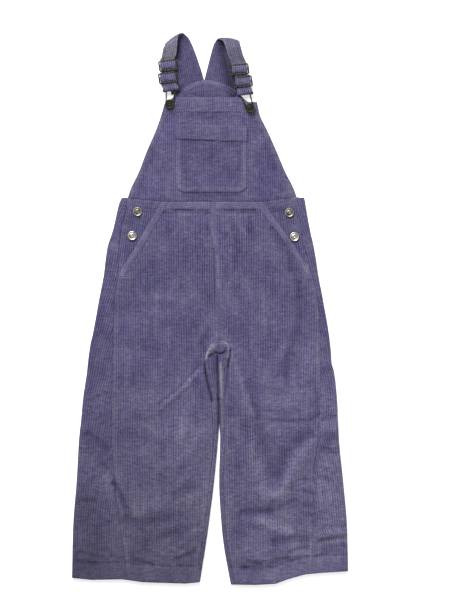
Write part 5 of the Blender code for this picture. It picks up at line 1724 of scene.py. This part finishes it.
# A bent wire: a bar for the strap, shoulders, and a loop that closes round the button's neck
def makeBuckle(name, spot, buttonSpot):
    x, y, turn = spot
    at, loop = np.array((x, y)), np.array(buttonSpot)
    down = (loop - at) / np.linalg.norm(loop - at)
    aside = np.array((-down[1], down[0]))
    along = np.array((math.cos(math.radians(turn)), math.sin(math.radians(turn))))
    bar, waist = buckle["bar"], buckle["waist"]
    # shares of the bar's length and how far down, then shares of the waist's width and how far down
    shoulder = ((0.5, 0.0), (0.82, 0.0), (0.9, 0.9), (0.86, 2.2), (0.7, 3.2))
    shank = ((1.24, 4.0), (1.08, 5.6), (1.06, 10.0), (1.0, buckle["drop"]))
    halves = []
    for sign in (1, -1):
        half = [at + sign * along * bar * share + down * drop for share, drop in shoulder]
        half += [at + sign * aside * waist * share + down * drop for share, drop in shank]
        for angle in (0.0, 30.0, 60.0):
            a = math.radians(angle)
            half.append(loop + waist * (sign * aside * math.cos(a) + down * math.sin(a) * 0.85))
        halves.append(half)
    tip = loop + down * waist * 0.85
    route = np.array(halves[0] + [tip] + halves[1][::-1])
    dense = []
    for i in range(len(route)):
        a, b, c, d = (route[(i + k) % len(route)] for k in (-1, 0, 1, 2))
        for t in np.linspace(0, 1, 6)[:-1]:
            bend = (2 * a - 5 * b + 4 * c - d) * t ** 2 + (3 * b - a - 3 * c + d) * t ** 3
            dense.append(0.5 * (2 * b + (c - a) * t + bend))
    curve = bpy.data.curves.new(name, "CURVE")
    curve.dimensions = "3D"
    curve.bevel_depth, curve.bevel_resolution = buckle["wire"] / 2 * mm, 4
    addOutline(curve, [(*point, buckle["z"]) for point in dense])
    addPiece(name, curve, antiqueBrass)


button = {"radius": 7.0, "neck": 2.4, "head": 2.4, "sides": 48}
# Shares of the radius and of the head's height, from the middle of the face out over the rim and under it
buttonProfile = (
    (0.0, 0.80), (0.05, 0.80), (0.09, 0.86), (0.14, 0.95), (0.24, 1.0), (0.38, 0.97), (0.5, 0.86),
    (0.56, 0.76), (0.62, 0.72), (0.68, 0.74), (0.74, 0.86), (0.82, 0.97), (0.9, 0.98), (0.96, 0.88),
    (1.0, 0.62), (1.0, 0.42), (0.97, 0.24), (0.92, 0.1), (0.8, 0.02), (0.5, 0.0),
)


# A pressed shank button: rolled rim, sunken ring, low dome with a dimple
def makeButton(name, x, y, z, neck, material):
    r, head, sides = button["radius"], button["head"], button["sides"]
    rings = [(a * r, neck + b * head) for a, b in buttonProfile]
    rings += [(button["neck"], neck), (button["neck"], 0.0), (0.0, 0.0)]
    points, edge = [], []
    for radius, height in rings:
        rim = 0.78 * r < radius <= r and height > neck + 0.5 * head
        for k in range(sides if radius > 0 else 1):
            a = 2 * math.pi * k / sides
            points.append((x + radius * math.cos(a), y + radius * math.sin(a), z + height))
            edge.append(0.8 if rim else 0.0)
    faces, start = [], 0
    for (ra, _), (rb, _) in zip(rings, rings[1:]):
        na, nb = (sides if ra > 0 else 1), (sides if rb > 0 else 1)
        for k in range(sides):
            a, b = start + k % na, start + (k + 1) % na
            c, d = start + na + (k + 1) % nb, start + na + k % nb
            faces.append(tuple(dict.fromkeys((a, d, c, b))))
        start += na
    mesh = bpy.data.meshes.new(name)
    mesh.from_pydata((np.array(points) * mm).tolist(), [], faces)
    setValues(mesh, "edge", edge)
    mesh.shade_smooth()
    mesh.set_sharp_from_angle(angle=math.radians(50))
    addPiece(name, mesh, material)


for side in ("left", "right"):
    for level, spot in zip(("upper", "lower"), slides[side]):
        makeSlide(f"slide_{side}_{level}", *spot)
    makeBuckle(f"buckle_{side}", buckles[side], bibButtons[side])
    # the neck stands on the bib's hem and reaches up through the buckle
    x, y = bibButtons[side]
    foot = float(bibSolid(x, y)) + 1.8
    neck = buckle["z"] + buckle["wire"] / 2 + strap["clear"] - foot
    makeButton(f"bib_button_{side}", x, y, foot, neck, dullBrass)
for name, (x, y) in sideButtons.items():
    nickel = tarnishedNickel if name.endswith("upper") else wornNickel
    makeButton(name, x, y, yoke["height"] + 0.3, 1.0, nickel)
print("hardware made")


# Topstitching

# The thread is drawn about twice as thick as a real one, so that it shows.
stitch = {"length": 2.5, "gap": 0.75, "radius": 0.34, "sides": 6}
# share of its length and height above the row
stitchShape = ((0.0, -0.35), (0.18, 0.0), (0.5, 0.12), (0.82, 0.0), (1.0, -0.35))


# One mesh of small pointed stitches, lying along the rows of points that the pieces left.
def sewThreads(lines):
    points, faces = [], []
    sides = stitch["sides"]
    angles = [2 * math.pi * k / sides for k in range(sides)]
    shares, heights = np.array(stitchShape).T
    for line in lines:
        run = runLength(line)
        count = int(run[-1] // (stitch["length"] + stitch["gap"]))
        for k in range(count):
            at = (k + 0.5) * run[-1] / count + (shares - 0.5) * stitch["length"]
            middle = np.stack([np.interp(at, run, line[:, axis]) for axis in range(3)], axis=1)
            middle[:, 2] += heights
            along = middle[-1] - middle[0]
            along /= np.linalg.norm(along)
            side = np.cross(along, (0.0, 0.0, 1.0))
            side /= max(np.linalg.norm(side), 1e-6)
            high = np.cross(side, along)
            first = len(points)
            points.append(middle[0])
            for ring in middle[1:-1]:
                for a in angles:
                    points.append(ring + stitch["radius"] * (side * math.cos(a) + high * math.sin(a)))
            points.append(middle[-1])
            last = len(points) - 1
            for a in range(sides):
                b = (a + 1) % sides
                faces.append((first, first + 1 + b, first + 1 + a))
                for start in (first + 1, first + 1 + sides):
                    faces.append((start + a, start + b, start + sides + b, start + sides + a))
                faces.append((last - sides + a, last - sides + b, last))
    mesh = bpy.data.meshes.new("topstitching")
    mesh.from_pydata((np.array(points) * mm).tolist(), [], faces)
    mesh.shade_smooth()
    mesh.materials.append(thread)
    piece = bpy.data.objects.new("topstitching", mesh)
    bpy.context.scene.collection.objects.link(piece)
    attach(piece, "root")
    return len(faces)


print("topstitching sewn:", sewThreads(threads), "faces")


# Stage, light and camera

stage = {"floor": "#f4f4f4", "size": 40.0, "glow": 0.4, "world": 0.5}
# name, place in metres, size, watts
lamps = (
    ("keyLight", (-0.6, 1.9, 1.9), 1.3, 120.0),
    ("fillLight", (1.3, -0.4, 1.8), 1.4, 10.0),
)
view = {"across": 29.25, "up": 3.75, "height": 3.5, "shown": 0.918, "sensor": 36.0}


def makeStage():
    # matt white paint, which glows a little so that the shadow stays soft
    material, tree = newMaterial("painted studio floor")
    shader = addNode(tree, "BsdfPrincipled", (0, 0), None, Base_Color=hexToLinear(stage["floor"]),
                     Roughness=0.9, Emission_Color=hexToLinear("#ffffff"), Emission_Strength=stage["glow"])
    addNode(tree, "OutputMaterial", (1, 0), None, Surface=(shader, "BSDF"))
    half, under = stage["size"] / 2, -0.2 * mm
    mesh = bpy.data.meshes.new("studioFloor")
    corners = [(-half, -half, under), (half, -half, under), (half, half, under), (-half, half, under)]
    mesh.from_pydata(corners, [], [(0, 1, 2, 3)])
    mesh.materials.append(material)
    studioFloor = bpy.data.objects.new("studioFloor", mesh)
    bpy.context.scene.collection.objects.link(studioFloor)


def makeLights():
    for name, place, size, watts in lamps:
        data = bpy.data.lights.new(name, "AREA")
        data.shape, data.size, data.energy = "DISK", size, watts
        lamp = bpy.data.objects.new(name, data)
        lamp.location = place
        lamp.rotation_mode = "QUATERNION"
        lamp.rotation_quaternion = (-Vector(place)).to_track_quat("-Z", "Y")
        bpy.context.scene.collection.objects.link(lamp)
    world = bpy.data.worlds.new("studio")
    world.use_nodes = True
    background = world.node_tree.nodes["Background"]
    background.inputs["Color"].default_value = (1, 1, 1, 1)
    background.inputs["Strength"].default_value = stage["world"]
    bpy.context.scene.world = world
    bpy.context.scene.view_settings.view_transform = "Standard"


# Straight above; shown is the longer side of what it sees, in metres
def makeCamera():
    data = bpy.data.cameras.new("camera")
    data.sensor_width = view["sensor"]
    data.lens = view["sensor"] * view["height"] / view["shown"]
    camera = bpy.data.objects.new("camera", data)
    camera.location = (view["across"] * mm, view["up"] * mm, view["height"])
    bpy.context.scene.collection.objects.link(camera)
    bpy.context.scene.camera = camera


makeStage()
makeLights()
makeCamera()
print("stage, light and camera set")
